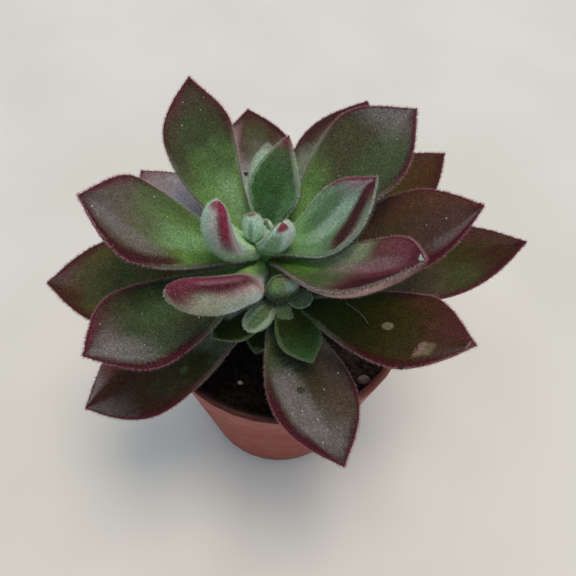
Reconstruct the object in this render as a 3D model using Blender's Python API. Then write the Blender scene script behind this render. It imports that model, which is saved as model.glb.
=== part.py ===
"""A young rosette succulent with velvety red-edged leaves, growing in a small tapered pot.

Lengths in the constants and tables are millimetres and angles are degrees; MM turns lengths
into metres. +Z is up and the origin is the centre of the pot's foot. Azimuth 0 is +X and
turns towards +Y.
"""
import math
import random
from typing import NamedTuple

import bmesh
import bpy
import numpy as np
from mathutils import Vector

MM = 0.001
CLEARANCE = 0.35

# Pot: a thin tapered wall with a small bead round the lip.
POT_HEIGHT = 48.0
POT_LIP_RADIUS = 27.5
POT_FOOT_RADIUS = 19.4
POT_WALL = 1.0
POT_FLOOR = 1.6
FLOOR_CHAMFER = 1.2
POT_SEGMENTS = 40
BEAD_RADIUS = 0.85
BEAD_SPAN = 2.2
FOOT_EDGE_RADIUS = 1.8
FOOT_RING_WIDTH = 3.0
FOOT_BOSS_RADIUS = 6.0
FOOT_RECESS = 0.7
DRAIN_HOLES = 4
DRAIN_HOLE_RADIUS = 2.2
DRAIN_CIRCLE_RADIUS = 10.5
DRAIN_HOLE_SIDES = 12

# Potting soil, with a plain hole for the stem.
SOIL_LEVEL = 43.0
SOIL_BUMP = 0.5
SOIL_DROP = 0.4
SOIL_CHAMFER = 1.6
SOIL_RINGS = (1.0, 0.85, 0.68, 0.5, 0.34)
SOIL_SEED = 11

# Grit that lies on the soil: place (x, y) and radii.
PEBBLE_PLACE = (18.1, -15.4)
PEBBLE_RADII = (1.4, 1.1, 0.8)
PERLITE_PLACE = (-8.0, -17.4)
PERLITE_RADII = (0.6, 0.5, 0.45)
GRIT_SIDES = 10

# Main stem: it leans as it rises, and tapers above the lowest leaves.
STEM_BOTTOM = 24.0
STEM_TOP = 71.6
STEM_LEAN_FROM = 46.0
STEM_LEAN_TO = 76.0
STEM_LEAN = (-4.0, -2.0)
STEM_RADIUS = 4.6
STEM_TAPER = 2.0
STEM_TAPER_FROM = 52.0
STEM_TAPER_LENGTH = 22.0
STEM_SIDES = 16
STEM_RINGS = 14

# Leaf blade proportions shared by every leaf.
MIDRIB_STEPS = 160
BEND_POWER = 1.5
ROLL_REACH = 0.4
SHOULDER_POWER = 1.4
SHARP_POWER = 1.15
BLUNT_POWER = 0.5
UPPER_SHARE = 0.38
STEM_GAP = 0.4
LAST_STATION = 0.97
LEAF_STATIONS = 11
LEAF_HALF_SIDES = 6
SMALL_LEAF_LENGTH = 14.5
SMALL_STATIONS = 7
SMALL_HALF_SIDES = 4

# Growing tip of the main stem and of the side shoot.
HEART_SIDES = 12
NECK_SHARE = 0.9
CROWN_HEART = (-3.9, -1.9, 74.0)
CROWN_HEART_RADIUS = 2.1
CROWN_NECK = 2.0
CROWN_SEAT_RADIUS = 1.2
SHOOT_HEART = (-0.6, -8.6, 65.0)
SHOOT_HEART_RADIUS = 1.9
SHOOT_NECK = 0.3
SHOOT_SEAT_RADIUS = 1.3
SHOOT_ROOT_HEIGHT = 62.6
SHOOT_ROOT_AZIMUTH = -86.0
SHOOT_STEM_RADIUS = 1.4


class Leaf(NamedTuple):
    """One leaf. It leaves its seat at azimuth and rise, and changes both on its way to the tip."""

    seat: float
    azimuth: float
    rise: float
    bend: float
    length: float
    width: float
    cup: float = 0.3
    roll: float = 0.0
    sway: float = 0.0
    widest: float = 0.6
    base: float = 0.32
    thickness: float = 3.2
    blunt: bool = False
    point: float = 2.2


# Leaves on the main stem, from the lowest seat to the highest.
LEAVES = [
    Leaf(52.6, -106, -8, 0, 9.5, 7.0, widest=0.55, thickness=2.0),
    Leaf(55.6, -140, -12, 0, 40.5, 19.0, cup=0.2, roll=2, sway=-10, widest=0.64),
    Leaf(56.2, 2, 12, 15, 45.5, 18.0, roll=4, sway=5, point=2.3),
    Leaf(56.9, 139, -1, 5, 40.0, 17.5, roll=-5, sway=-1),
    Leaf(57.7, -75, 1, 10, 37.0, 16.0, cup=0.2, roll=4, sway=9, base=0.3),
    Leaf(58.8, 39, 16, 4, 40.5, 17.5, roll=2, sway=-4),
    Leaf(59.7, 101, 10, 5, 38.5, 17.5, roll=3, sway=2),
    Leaf(59.8, -170, 1, 9, 40.0, 19.5, cup=0.25, roll=10, sway=-2, widest=0.63),
    Leaf(60.2, -40, 14, 18, 39.0, 18.0, roll=4, sway=16, widest=0.7, point=1.8),
    Leaf(62.4, 65, 13, 5, 41.0, 18.0, roll=2),
    Leaf(63.2, -33, 9, 6, 10.0, 5.0, widest=0.55, thickness=2.0),
    Leaf(64.9, -140, 4, 16, 36.0, 16.5, cup=0.27, roll=8, sway=4, widest=0.68, base=0.28,
         point=2.3),
    Leaf(65.6, -1, 21, 18, 37.0, 18.0, cup=0.28, roll=-2, sway=6),
    Leaf(66.4, 136, 20, 20, 37.0, 14.5, cup=0.36, roll=22, sway=-36, widest=0.67, base=0.24,
         point=2.0),
    Leaf(67.5, 188, 20, 33, 33.5, 19.5, cup=0.39, sway=-2, widest=0.7, base=0.22, point=1.9),
    Leaf(68.5, 98, 40, 5, 17.5, 7.0, cup=0.55, sway=-9, base=0.28, thickness=2.3, point=2.6),
    Leaf(68.5, 38, 35, 4, 34.0, 19.5, cup=0.56, roll=-1, sway=-5, widest=0.66, base=0.33,
         thickness=3.0, point=2.0),
    Leaf(69.7, -40, 25, 39, 35.0, 16.0, cup=0.6, roll=2, sway=5, widest=0.63, base=0.34,
         thickness=2.9, point=2.0),
    Leaf(68.3, -109, 27, 27, 27.0, 5.7, cup=0.35, roll=-108, sway=-40, widest=0.64, base=0.45,
         thickness=6.8, blunt=True),
    Leaf(71.6, 84, 48, 6, 17.0, 10.5, cup=0.74, roll=2, sway=-17, widest=0.4, base=0.43,
         thickness=2.8, point=1.9),
    Leaf(72.0, -13, 38, 43, 25.0, 13.0, cup=0.68, roll=-19, sway=18, widest=0.53, base=0.56,
         thickness=2.8),
    Leaf(73.0, 215, 44, 73, 17.0, 7.6, cup=1.0, roll=19, sway=27, widest=0.41, base=0.78,
         thickness=4.8, blunt=True),
]

# Youngest leaves of the main stem. Their seats are heights above the crown's heart.
CROWN_LEAVES = [
    Leaf(-0.4, 213, 73, 16, 7.9, 3.5, cup=0.4, roll=-37, sway=36, base=0.52, thickness=3.3,
         blunt=True),
    Leaf(-1.2, -62, 40, 62, 12.9, 6.5, cup=0.8, sway=14, widest=0.44, base=0.77, thickness=2.9,
         blunt=True),
    Leaf(0.1, 45, 95, 13, 3.3, 2.3, cup=1.2, sway=8, widest=0.55, base=0.68, thickness=1.3,
         blunt=True),
]

# Leaves of the side shoot. Their seats are heights above the shoot's heart.
SHOOT_LEAVES = [
    Leaf(0.2, -66, 79, 47, 6.2, 6.2, cup=0.35, sway=-23, widest=0.41, base=0.57, thickness=2.9,
         blunt=True),
    Leaf(-0.8, -121, 0, 6, 8.8, 4.8, cup=0.4, sway=-6, base=0.45, thickness=2.0, blunt=True),
    Leaf(-0.3, -19, 11, 0, 5.2, 4.2, base=0.45, thickness=1.8, blunt=True),
    Leaf(-0.3, -74, -6, 0, 5.4, 2.8, base=0.5, thickness=1.6, blunt=True),
    Leaf(-1.1, -66, -3, 6, 14.0, 8.2, cup=0.35, sway=4, base=0.4, thickness=2.4),
    Leaf(-2.0, -147, -10, 6, 13.5, 8.5, sway=4, base=0.4, thickness=2.4),
    Leaf(0.0, 85, 80, 0, 2.8, 2.4, cup=0.8, widest=0.5, base=0.6, thickness=1.4, blunt=True),
]

TERRACOTTA = (0.46, 0.16, 0.11)
SOIL_COLOUR = (0.012, 0.010, 0.009)
STEM_COLOUR = (0.10, 0.13, 0.05)
YOUNG_LEAF_COLOUR = (0.13, 0.24, 0.12)
OLD_LEAF_COLOUR = (0.075, 0.055, 0.04)
PEBBLE_COLOUR = (0.35, 0.27, 0.2)
PERLITE_COLOUR = (0.8, 0.8, 0.78)


def clear_scene():
    for item in list(bpy.data.objects):
        bpy.data.objects.remove(item, do_unlink=True)


def material(name, colour, roughness):
    made = bpy.data.materials.new(name)
    made.use_nodes = True
    shader = made.node_tree.nodes["Principled BSDF"]
    shader.inputs["Base Color"].default_value = (*colour, 1.0)
    shader.inputs["Roughness"].default_value = roughness
    shader.inputs["Metallic"].default_value = 0.0
    made.diffuse_color = (*colour, 1.0)
    return made


def mix(first, second, share):
    return tuple(a + (b - a) * share for a, b in zip(first, second))


def loft(name, rings, start, end, finish):
    """Closed body through rings of points in millimetres, closed at both ends by a point."""
    shape = bmesh.new()
    loops = [[shape.verts.new(Vector(point) * MM) for point in ring] for ring in rings]
    first = shape.verts.new(Vector(start) * MM)
    last = shape.verts.new(Vector(end) * MM)
    count = len(loops[0])
    for near, far in zip(loops, loops[1:]):
        for i in range(count):
            j = (i + 1) % count
            shape.faces.new((near[i], near[j], far[j]))
            shape.faces.new((near[i], far[j], far[i]))
    for i in range(count):
        j = (i + 1) % count
        shape.faces.new((loops[0][j], loops[0][i], first))
        shape.faces.new((loops[-1][i], loops[-1][j], last))
    bmesh.ops.recalc_face_normals(shape, faces=shape.faces)
    mesh = bpy.data.meshes.new(name)
    shape.to_mesh(mesh)
    shape.free()
    mesh.shade_smooth()
    mesh.materials.append(finish)
    body = bpy.data.objects.new(name, mesh)
    bpy.context.scene.collection.objects.link(body)
    return body


def circle(centre, radius, sides):
    """Level circle of points round a centre."""
    turns = [2 * math.pi * i / sides for i in range(sides)]
    return [
        (centre[0] + radius * math.cos(a), centre[1] + radius * math.sin(a), centre[2])
        for a in turns
    ]


def arc(centre, radius, start, end, steps):
    """Points (radius, height) along an arc of a turned profile."""
    angles = [math.radians(start + (end - start) * i / steps) for i in range(steps + 1)]
    return [(centre[0] + radius * math.cos(a), centre[1] + radius * math.sin(a)) for a in angles]


def pot_outer_radius(height):
    return POT_FOOT_RADIUS + (POT_LIP_RADIUS - POT_FOOT_RADIUS) * height / POT_HEIGHT


def pot_inner_radius(height):
    return pot_outer_radius(height) - POT_WALL


def pot_profile():
    """Turned section of the pot, from the middle of its foot out, up and back to its floor."""
    ring_inside = POT_FOOT_RADIUS - FOOT_EDGE_RADIUS - FOOT_RING_WIDTH
    bead_centre = (POT_LIP_RADIUS - BEAD_RADIUS, POT_HEIGHT - BEAD_RADIUS)
    below_bead = POT_HEIGHT - BEAD_SPAN
    edge_centre = (POT_FOOT_RADIUS - FOOT_EDGE_RADIUS, FOOT_EDGE_RADIUS)
    profile = [(FOOT_BOSS_RADIUS, 0.0), (FOOT_BOSS_RADIUS + FOOT_RECESS, FOOT_RECESS)]
    profile += [(ring_inside - FOOT_RECESS, FOOT_RECESS), (ring_inside, 0.0)]
    profile += arc(edge_centre, FOOT_EDGE_RADIUS, -90, -10, 3)
    profile += [(pot_outer_radius(below_bead), below_bead)]
    profile += arc(bead_centre, BEAD_RADIUS, -30, 210, 6)
    profile += [(pot_inner_radius(below_bead), below_bead)]
    profile += [(pot_inner_radius(POT_FLOOR + FLOOR_CHAMFER), POT_FLOOR + FLOOR_CHAMFER)]
    profile += [(pot_inner_radius(POT_FLOOR) - FLOOR_CHAMFER, POT_FLOOR)]
    return profile


def build_drain_cutter(i):
    angle = 2 * math.pi * (i + 0.5) / DRAIN_HOLES
    place = (DRAIN_CIRCLE_RADIUS * math.cos(angle), DRAIN_CIRCLE_RADIUS * math.sin(angle))
    rings = [circle((*place, z), DRAIN_HOLE_RADIUS, DRAIN_HOLE_SIDES) for z in (-2.0, POT_FLOOR + 2.0)]
    ends = [(*place, -2.0), (*place, POT_FLOOR + 2.0)]
    cutter = loft(f"drain_cutter_{i}", rings, *ends, bpy.data.materials["pot"])
    cutter.hide_render = True
    cutter.display_type = "WIRE"
    return cutter


def build_pot():
    finish = material("pot", TERRACOTTA, 0.55)
    rings = [circle((0, 0, z), r, POT_SEGMENTS) for r, z in pot_profile()]
    pot = loft("pot", rings, (0, 0, 0), (0, 0, POT_FLOOR), finish)
    pot.data.set_sharp_from_angle(angle=math.radians(40))
    for i in range(DRAIN_HOLES):
        drill = pot.modifiers.new(f"drain_{i}", "BOOLEAN")
        drill.operation = "DIFFERENCE"
        drill.object = build_drain_cutter(i)
    return pot


def soil_height(x, y, waves):
    """Uneven top of the soil: a sum of slow waves across it."""
    lift = sum(math.sin(kx * x + ky * y + phase) for kx, ky, phase in waves)
    return SOIL_LEVEL + SOIL_BUMP * lift / len(waves)


def soil_waves():
    draw = random.Random(SOIL_SEED)
    return [(draw.uniform(-1, 1), draw.uniform(-1, 1), draw.uniform(0, 6.28)) for _ in range(6)]


def build_soil():
    waves = soil_waves()
    hole = STEM_RADIUS + CLEARANCE
    bottom = POT_FLOOR + CLEARANCE
    socket = STEM_BOTTOM - CLEARANCE
    foot_radius = pot_inner_radius(bottom) - SOIL_CHAMFER - CLEARANCE
    shoulder = bottom + SOIL_CHAMFER
    rings = [circle((0, 0, bottom), foot_radius, POT_SEGMENTS)]
    rings += [circle((0, 0, shoulder), pot_inner_radius(shoulder) - CLEARANCE, POT_SEGMENTS)]
    edge = pot_inner_radius(SOIL_LEVEL - SOIL_BUMP - SOIL_DROP) - CLEARANCE
    for share in SOIL_RINGS:
        level = circle((0, 0, SOIL_LEVEL), edge * share, POT_SEGMENTS)
        rings.append([(x, y, soil_height(x, y, waves) - SOIL_DROP * share) for x, y, _ in level])
    rings += [circle((0, 0, SOIL_LEVEL), hole, POT_SEGMENTS)]
    rings += [circle((0, 0, socket), hole, POT_SEGMENTS)]
    finish = material("soil", SOIL_COLOUR, 0.95)
    return loft("soil", rings, (0, 0, bottom), (0, 0, socket), finish)


def build_grit(name, place, radii, colour):
    """Rounded grain that lies on the soil."""
    floor = max(
        soil_height(place[0] + dx, place[1] + dy, soil_waves())
        for dx in (-radii[0], 0, radii[0])
        for dy in (-radii[1], 0, radii[1])
    )
    middle = floor + CLEARANCE - SOIL_DROP * math.hypot(*place) / POT_LIP_RADIUS + radii[2]
    rings = []
    for latitude in (-60, -30, 0, 30, 60):
        swell = math.cos(math.radians(latitude))
        height = middle + radii[2] * math.sin(math.radians(latitude))
        level = circle((0, 0, height), swell, GRIT_SIDES)
        rings.append([(place[0] + x * radii[0], place[1] + y * radii[1], z) for x, y, z in level])
    ends = [(*place, middle - radii[2]), (*place, middle + radii[2])]
    return loft(name, rings, *ends, material(name, colour, 0.9))


def stem_axis(height):
    share = (height - STEM_LEAN_FROM) / (STEM_LEAN_TO - STEM_LEAN_FROM)
    share = max(share, 0.0)
    return np.array([STEM_LEAN[0] * share, STEM_LEAN[1] * share, height])


def stem_radius(height):
    taper = min(max((height - STEM_TAPER_FROM) / STEM_TAPER_LENGTH, 0.0), 1.0)
    return STEM_RADIUS - STEM_TAPER * taper


def build_stem():
    heights = np.linspace(STEM_BOTTOM, STEM_TOP, STEM_RINGS)
    rings = [circle(stem_axis(z), stem_radius(z), STEM_SIDES) for z in heights]
    ends = stem_axis(heights[0]), stem_axis(heights[-1])
    return loft("stem", rings, *ends, material("stem", STEM_COLOUR, 0.8))


def outward(azimuth):
    a = math.radians(azimuth)
    return np.array([math.cos(a), math.sin(a), 0.0])


def stem_seat(leaf):
    """Point just off the main stem where a leaf's midrib starts."""
    lift = UPPER_SHARE * leaf.thickness * abs(math.sin(math.radians(leaf.rise)))
    reach = stem_radius(leaf.seat) + STEM_GAP + lift
    return stem_axis(leaf.seat) + reach * outward(leaf.azimuth)


def heart_seat(leaf, heart, radius):
    return np.array(heart) + np.array([0, 0, leaf.seat]) + radius * outward(leaf.azimuth)


def midrib(leaf, seat):
    """Points of the midrib with its forward, right-hand and upper directions."""
    share = np.linspace(0, 1, MIDRIB_STEPS + 1)
    pitch = np.radians(leaf.rise + leaf.bend * share**BEND_POWER)
    heading = np.radians(leaf.azimuth + leaf.sway * share)
    level = np.zeros_like(share)
    forward = np.stack(
        [np.cos(pitch) * np.cos(heading), np.cos(pitch) * np.sin(heading), np.sin(pitch)], -1
    )
    steps = (forward[1:] + forward[:-1]) / 2 * leaf.length / MIDRIB_STEPS
    points = seat + np.concatenate([np.zeros((1, 3)), np.cumsum(steps, 0)])
    flat_right = np.stack([np.sin(heading), -np.cos(heading), level], -1)
    flat_upper = np.cross(flat_right, forward)
    turn = np.clip(share / ROLL_REACH, 0, 1)
    roll = (math.radians(leaf.roll) * turn * turn * (3 - 2 * turn))[:, None]
    right = flat_right * np.cos(roll) + flat_upper * np.sin(roll)
    upper = flat_upper * np.cos(roll) - flat_right * np.sin(roll)
    return points, right, upper


def half_width(leaf, share):
    """Half the blade's width at a share of its length."""
    shoulder = np.sin(np.pi / 2 * np.clip(share / leaf.widest, 0, 1) ** SHOULDER_POWER)
    lower = leaf.base + (1 - leaf.base) * shoulder
    past = np.clip((share - leaf.widest) / (1 - leaf.widest), 0, 1)
    power = BLUNT_POWER if leaf.blunt else SHARP_POWER
    upper = (1 - past**leaf.point) ** power
    return leaf.width / 2 * np.where(share < leaf.widest, lower, upper)


def blade_thickness(leaf, share):
    swell = 0.65 + 0.35 * np.sin(np.pi * share**0.8)
    thinning = np.clip(1 - share**4, 0, 1) ** (0.5 if leaf.blunt else 0.6)
    return leaf.thickness * swell * thinning


def leaf_rings(leaf, seat, stations, half_sides):
    """Cross-sections of a cupped blade with rounded margins, and its two end points."""
    points, right, upper = midrib(leaf, seat)
    shares = np.append(np.linspace(0, 1, stations)[:-1], LAST_STATION)
    angles = np.linspace(0, np.pi, half_sides + 1)
    across = np.cos(angles)
    swell = np.sin(angles) ** 0.75
    rings = []
    for share in shares:
        i = share * MIDRIB_STEPS
        low = min(int(i), MIDRIB_STEPS - 1)
        part = i - low
        centre = points[low] * (1 - part) + points[low + 1] * part
        side = right[low] * (1 - part) + right[low + 1] * part
        top = upper[low] * (1 - part) + upper[low + 1] * part
        width = half_width(leaf, share) / leaf.cup
        thick = blade_thickness(leaf, share)
        turn = leaf.cup * across[:, None]
        surface = centre + width * (np.sin(turn) * side + (1 - np.cos(turn)) * top)
        normal = np.cos(turn) * top - np.sin(turn) * side
        above = surface + normal * (UPPER_SHARE * thick * swell)[:, None]
        below = surface - normal * ((1 - UPPER_SHARE) * thick * swell)[:, None]
        rings.append(np.concatenate([above, below[-2:0:-1]]))
    return rings, rings[0].mean(0), points[-1]


def leaf_material(name, seat):
    """Older, lower leaves are browner than the young green ones."""
    lowest = LEAVES[0].seat
    age = (STEM_TOP - seat) / (STEM_TOP - lowest)
    return material(name, mix(YOUNG_LEAF_COLOUR, OLD_LEAF_COLOUR, min(max(age, 0), 1)), 0.75)


def build_leaf(name, leaf, seat, finish):
    if leaf.length < SMALL_LEAF_LENGTH:
        detail = SMALL_STATIONS, SMALL_HALF_SIDES
    else:
        detail = LEAF_STATIONS, LEAF_HALF_SIDES
    rings, base, tip = leaf_rings(leaf, seat, *detail)
    return loft(name, rings, base, tip, finish)


def build_heart(name, heart, radius, neck, finish):
    """Small dome that young leaves grow from, on a neck that reaches down to the stem."""
    foot = heart[2] - neck
    rings = [circle((heart[0], heart[1], foot), radius * NECK_SHARE, HEART_SIDES)]
    for latitude in (0, 25, 50, 70):
        angle = math.radians(latitude)
        centre = (heart[0], heart[1], heart[2] + radius * math.sin(angle))
        rings.append(circle(centre, radius * math.cos(angle), HEART_SIDES))
    bottom = (heart[0], heart[1], foot)
    top = (heart[0], heart[1], heart[2] + radius)
    return loft(name, rings, bottom, top, finish)


def build_side_stem(finish):
    """Short branch from the main stem's surface to the heart of the side shoot."""
    root = stem_axis(SHOOT_ROOT_HEIGHT)
    off = stem_radius(SHOOT_ROOT_HEIGHT) + CLEARANCE + SHOOT_STEM_RADIUS
    start = root + off * outward(SHOOT_ROOT_AZIMUTH)
    end = np.array(SHOOT_HEART) + np.array([0, 0, 0.3])
    middle = start * 0.4 + end * 0.6 + np.array([0, 0, -0.5])
    rings = [circle(point, SHOOT_STEM_RADIUS, 10) for point in (start, middle, end)]
    return loft("side_stem", rings, start - [0, 0, 0.5], end + [0, 0, 0.5], finish)


def join_collection(body, members, finish):
    """Union of a body with its members, kept as one plain mesh."""
    group = bpy.data.collections.new(f"{body.name}_members")
    bpy.context.scene.collection.children.link(group)
    for member in members:
        bpy.context.scene.collection.objects.unlink(member)
        group.objects.link(member)
    union = body.modifiers.new("union", "BOOLEAN")
    union.operation = "UNION"
    union.operand_type = "COLLECTION"
    union.collection = group
    graph = bpy.context.evaluated_depsgraph_get()
    joined = bpy.data.meshes.new_from_object(body.evaluated_get(graph))
    body.modifiers.clear()
    body.data = joined
    joined.materials.clear()
    joined.materials.append(finish)
    joined.shade_smooth()
    for member in members:
        bpy.data.objects.remove(member, do_unlink=True)
    bpy.data.collections.remove(group)
    return body


def small_leaves(prefix, leaves, heart, radius, finish):
    made = []
    for i, leaf in enumerate(leaves):
        seat = heart_seat(leaf, heart, radius)
        made.append(build_leaf(f"{prefix}_{i}", leaf, seat, finish))
    return made


def build_crown():
    finish = leaf_material("crown", STEM_TOP)
    heart = build_heart("crown", CROWN_HEART, CROWN_HEART_RADIUS, CROWN_NECK, finish)
    members = small_leaves("bud", CROWN_LEAVES, CROWN_HEART, CROWN_SEAT_RADIUS, finish)
    return join_collection(heart, members, finish)


def build_side_shoot():
    finish = leaf_material("side_shoot", STEM_TOP)
    heart = build_heart("side_shoot", SHOOT_HEART, SHOOT_HEART_RADIUS, SHOOT_NECK, finish)
    members = small_leaves("sprout", SHOOT_LEAVES, SHOOT_HEART, SHOOT_SEAT_RADIUS, finish)
    members.append(build_side_stem(finish))
    return join_collection(heart, members, finish)


def build_main_leaves():
    for number, leaf in enumerate(LEAVES, 1):
        name = f"leaf_{number:02d}"
        build_leaf(name, leaf, stem_seat(leaf), leaf_material(name, leaf.seat))


def main():
    clear_scene()
    build_pot()
    build_soil()
    build_grit("pebble", PEBBLE_PLACE, PEBBLE_RADII, PEBBLE_COLOUR)
    build_grit("perlite", PERLITE_PLACE, PERLITE_RADII, PERLITE_COLOUR)
    build_stem()
    build_main_leaves()
    build_crown()
    build_side_shoot()


main()
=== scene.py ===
import math
from typing import NamedTuple

import bpy
import numpy as np
from mathutils import Matrix, Vector


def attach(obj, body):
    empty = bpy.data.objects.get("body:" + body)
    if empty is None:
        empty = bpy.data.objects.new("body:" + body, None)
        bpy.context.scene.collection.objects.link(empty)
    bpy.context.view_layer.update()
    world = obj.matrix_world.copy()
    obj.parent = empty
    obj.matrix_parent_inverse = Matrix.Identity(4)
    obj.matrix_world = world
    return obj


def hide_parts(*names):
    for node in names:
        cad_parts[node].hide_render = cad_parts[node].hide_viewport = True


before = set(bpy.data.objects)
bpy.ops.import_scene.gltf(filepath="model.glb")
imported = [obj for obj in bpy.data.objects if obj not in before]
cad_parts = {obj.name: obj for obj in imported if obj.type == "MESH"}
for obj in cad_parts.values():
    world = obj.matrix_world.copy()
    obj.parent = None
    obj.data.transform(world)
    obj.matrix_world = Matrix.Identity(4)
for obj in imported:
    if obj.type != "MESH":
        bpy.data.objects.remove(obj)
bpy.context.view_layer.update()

# Lengths are millimetres, and MM turns them into metres. Angles are degrees. Azimuth 0 is +X and
# turns towards +Y.
MM = 0.001

# Camera: 37.5 mm lens on a 36 mm square frame, looking down on the rosette. The floor reaches
# far beyond the picture.
CAMERA_PLACE = (1.0, -72.0, 159.0)
CAMERA_PITCH = 55.5
CAMERA_ROLL = 3.1
CAMERA_LENS = 37.5
CAMERA_SENSOR = 36.0
FLOOR_REACH = 2000.0

# Proportions shared by every leaf blade. They are those of the solid leaves.
MIDRIB_STEPS = 200
BEND_POWER = 1.5
ROLL_REACH = 0.4
SHOULDER_POWER = 1.4
SHARP_POWER = 1.15
BLUNT_POWER = 0.5
UPPER_SHARE = 0.38
STEM_GAP = 0.4

# The main stem, as in the solid model.
STEM_LEAN_FROM = 46.0
STEM_LEAN_TO = 76.0
STEM_LEAN = (-4.0, -2.0)
STEM_RADIUS = 4.6
STEM_TAPER = 2.0
STEM_TAPER_FROM = 52.0
STEM_TAPER_LENGTH = 22.0
GREEN_STEM_FROM = 56.0
GREEN_STEM_FULL = 64.0

# Where the side shoot leaves the main stem.
SHOOT_ROOT_HEIGHT = 62.6
SHOOT_ROOT_AZIMUTH = -86.0
SHOOT_STEM_RADIUS = 1.4
SHOOT_STEM_SAG = 0.8
SHOOT_STEM_RINGS = 9

# The pot's outer wall and the soil in it.
POT_FOOT_RADIUS = 19.4
POT_SLOPE = 8.1 / 48.0
SOIL_LEVEL = 43.0
SOIL_RADIUS = 25.2

# Hairs on the blades, with the share of them that is built, and hairs along the margins, whose
# density is their number on a millimetre.
HAIR_LENGTH = 0.42
HAIR_RADIUS = 0.036
HAIR_SHARE = 0.75
HAIR_PALENESS = 0.55
FRINGE_RADIUS = 0.040
FRINGE_DENSITY = 26.0
FRINGE_TIP = np.array([0.72, 0.47, 0.44])
CONE_FACES = np.array([[0, 1, 3], [1, 2, 3], [2, 0, 3], [2, 1, 0]])

# Rings and points round each of them on a large and on a small blade, and where along the blade
# the second and the last ring lie.
BLADE_GRID = (64, 44)
SMALL_BLADE_GRID = (36, 32)
SECOND_RING = 0.002
LAST_RING = 0.9985

# How far a blade's base reaches back to the stem, and the unevenness of its surface, which is
# less on a leaf shorter than FULL_LENGTH.
BLADE_ROOT = 1.3
EDGE_WAVE = 0.008
RIPPLE = 0.05
GROOVE_DEPTH = 0.16
GROOVE_WIDTH = 0.12
FULL_LENGTH = 40.0

# Seeds of the random draws. Each leaf adds its number to its own.
BLADE_SEED = 100
HAIR_SEED = 500
CRUMB_SEED = 21
MARK_SEED = 7

# Crumbs on the soil: how many, their smallest and largest radius and how deep they lie in it.
CRUMB_COUNT = 420
CRUMB_SMALLEST = 0.25
CRUMB_LARGEST = 1.0
CRUMB_DEPTH = 0.35

# Loose bits on the leaves: motes of dust, with their number on each leaf, and on one leaf a
# fibre and a crumb of peat made of three lumps. Their spots are given along and across the leaf.
MOTE_RADII = (0.06, 0.15)
MOTE_LIFT = 0.08
MOTES = {"leaf_05": 8, "leaf_12": 5, "leaf_13": 6, "leaf_14": 8, "leaf_15": 5, "leaf_17": 10}
MARKED_LEAF = "leaf_09"
FIBRE_ENDS = np.array([(0.335, -0.24), (0.494, 0.16)])
FIBRE_RADIUS = 0.10
FIBRE_LIFT = 0.25
FIBRE_BEND = 0.5
PEAT_SPOT = (0.76, 0.98)
PEAT_RADII = (0.34, 0.3, 0.28)
PEAT_STEPS = ((0, 0, 0), (0.5, 0.1, -0.1), (-0.35, -0.35, 0.05))


class Leaf(NamedTuple):
    """Shape of one leaf, as in the solid model."""

    seat: float
    azimuth: float
    rise: float
    bend: float
    length: float
    width: float
    cup: float = 0.3
    roll: float = 0.0
    sway: float = 0.0
    widest: float = 0.6
    base: float = 0.32
    thickness: float = 3.2
    blunt: bool = False
    point: float = 2.2


class Cluster(NamedTuple):
    """A dome, its heart, and small leaves seated round it."""

    heart: tuple
    radius: float
    neck: float
    seat_radius: float
    leaves: list
    seed: int


class Patch(NamedTuple):
    """Soft-edged area of another colour on a blade.

    along and across hold four steps each: where the area starts, is full, starts to fade and is
    gone. slant moves it across the blade on its way to the tip. pile is how many more pale hairs
    stand on it, as a multiple of the leaf's own. face is 1 on the upper side, -1 on the underside.
    """

    colour: tuple
    along: tuple
    across: tuple
    strength: float = 0.8
    slant: float = 0.0
    pile: float = 0.0
    face: int = 1


class Spot(NamedTuple):
    """Round mark on the upper side of a blade."""

    colour: tuple
    along: float
    across: float
    radius: float
    strength: float = 0.8


class Look(NamedTuple):
    """How one leaf looks.

    The colours run from the base through the middle to the tip; young and turn are the spans
    along the leaf in which one gives way to the next. The margin is a line of the rim's colour
    from rim_from on, on both sides or only on the left (-1) or right (1), and elsewhere it has
    the colour plain_rim. blush is how far wine red spreads inwards from it and how strong it is.
    hair is the number of pale hairs on a square millimetre, and bare is the share of them that
    the middle of the blade lacks. The hairs of the margin have the colour fringe where the rim is
    coloured and down elsewhere, and are at most 1.1 fuzz long.
    """

    base: tuple
    middle: tuple
    tip: tuple
    young: tuple = (0.08, 0.42)
    turn: tuple = (0.45, 0.95)
    patches: tuple = ()
    spots: tuple = ()
    rim: tuple = (0.078, 0.010, 0.017)
    plain_rim: tuple = (0.11, 0.11, 0.06)
    rim_from: float = 0.3
    rim_side: int = 0
    blush: tuple = (2.3, 0.85)
    belly: tuple = (0.10, 0.08, 0.06)
    hair: float = 8.5
    bare: float = 0.5
    pile: tuple = (0.24, 0.20, 0.14)
    fringe: tuple = (0.30, 0.075, 0.10)
    down: tuple = (0.40, 0.38, 0.26)
    fuzz: float = 0.72


# Colours of the leaves.
MINT = (0.21, 0.36, 0.17)
GRASS = (0.16, 0.31, 0.075)
LIME = (0.115, 0.21, 0.045)
SPRING = (0.11, 0.24, 0.03)
SAGE = (0.105, 0.100, 0.055)
FERN = (0.075, 0.105, 0.038)
FOREST = (0.040, 0.095, 0.026)
SHADE = (0.016, 0.024, 0.004)
MOSS = (0.058, 0.070, 0.032)
OLIVE = (0.046, 0.038, 0.007)
BARK = (0.030, 0.022, 0.008)
TAUPE = (0.062, 0.044, 0.024)
ASH = (0.125, 0.090, 0.082)
RUSSET = (0.078, 0.026, 0.015)
SIENNA = (0.045, 0.017, 0.008)
UMBER = (0.068, 0.036, 0.022)
PLUM = (0.115, 0.020, 0.032)
WINE = (0.040, 0.005, 0.008)
CRIMSON = (0.20, 0.016, 0.042)
MAGENTA = (0.17, 0.022, 0.058)
ROSE = (0.36, 0.22, 0.23)
MAUVE = (0.23, 0.19, 0.185)
# SILVER is painted sheen: the glow of light from behind on the hairs, laid on as colour wherever a patch
# uses it.
SILVER = (0.27, 0.24, 0.235)
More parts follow.
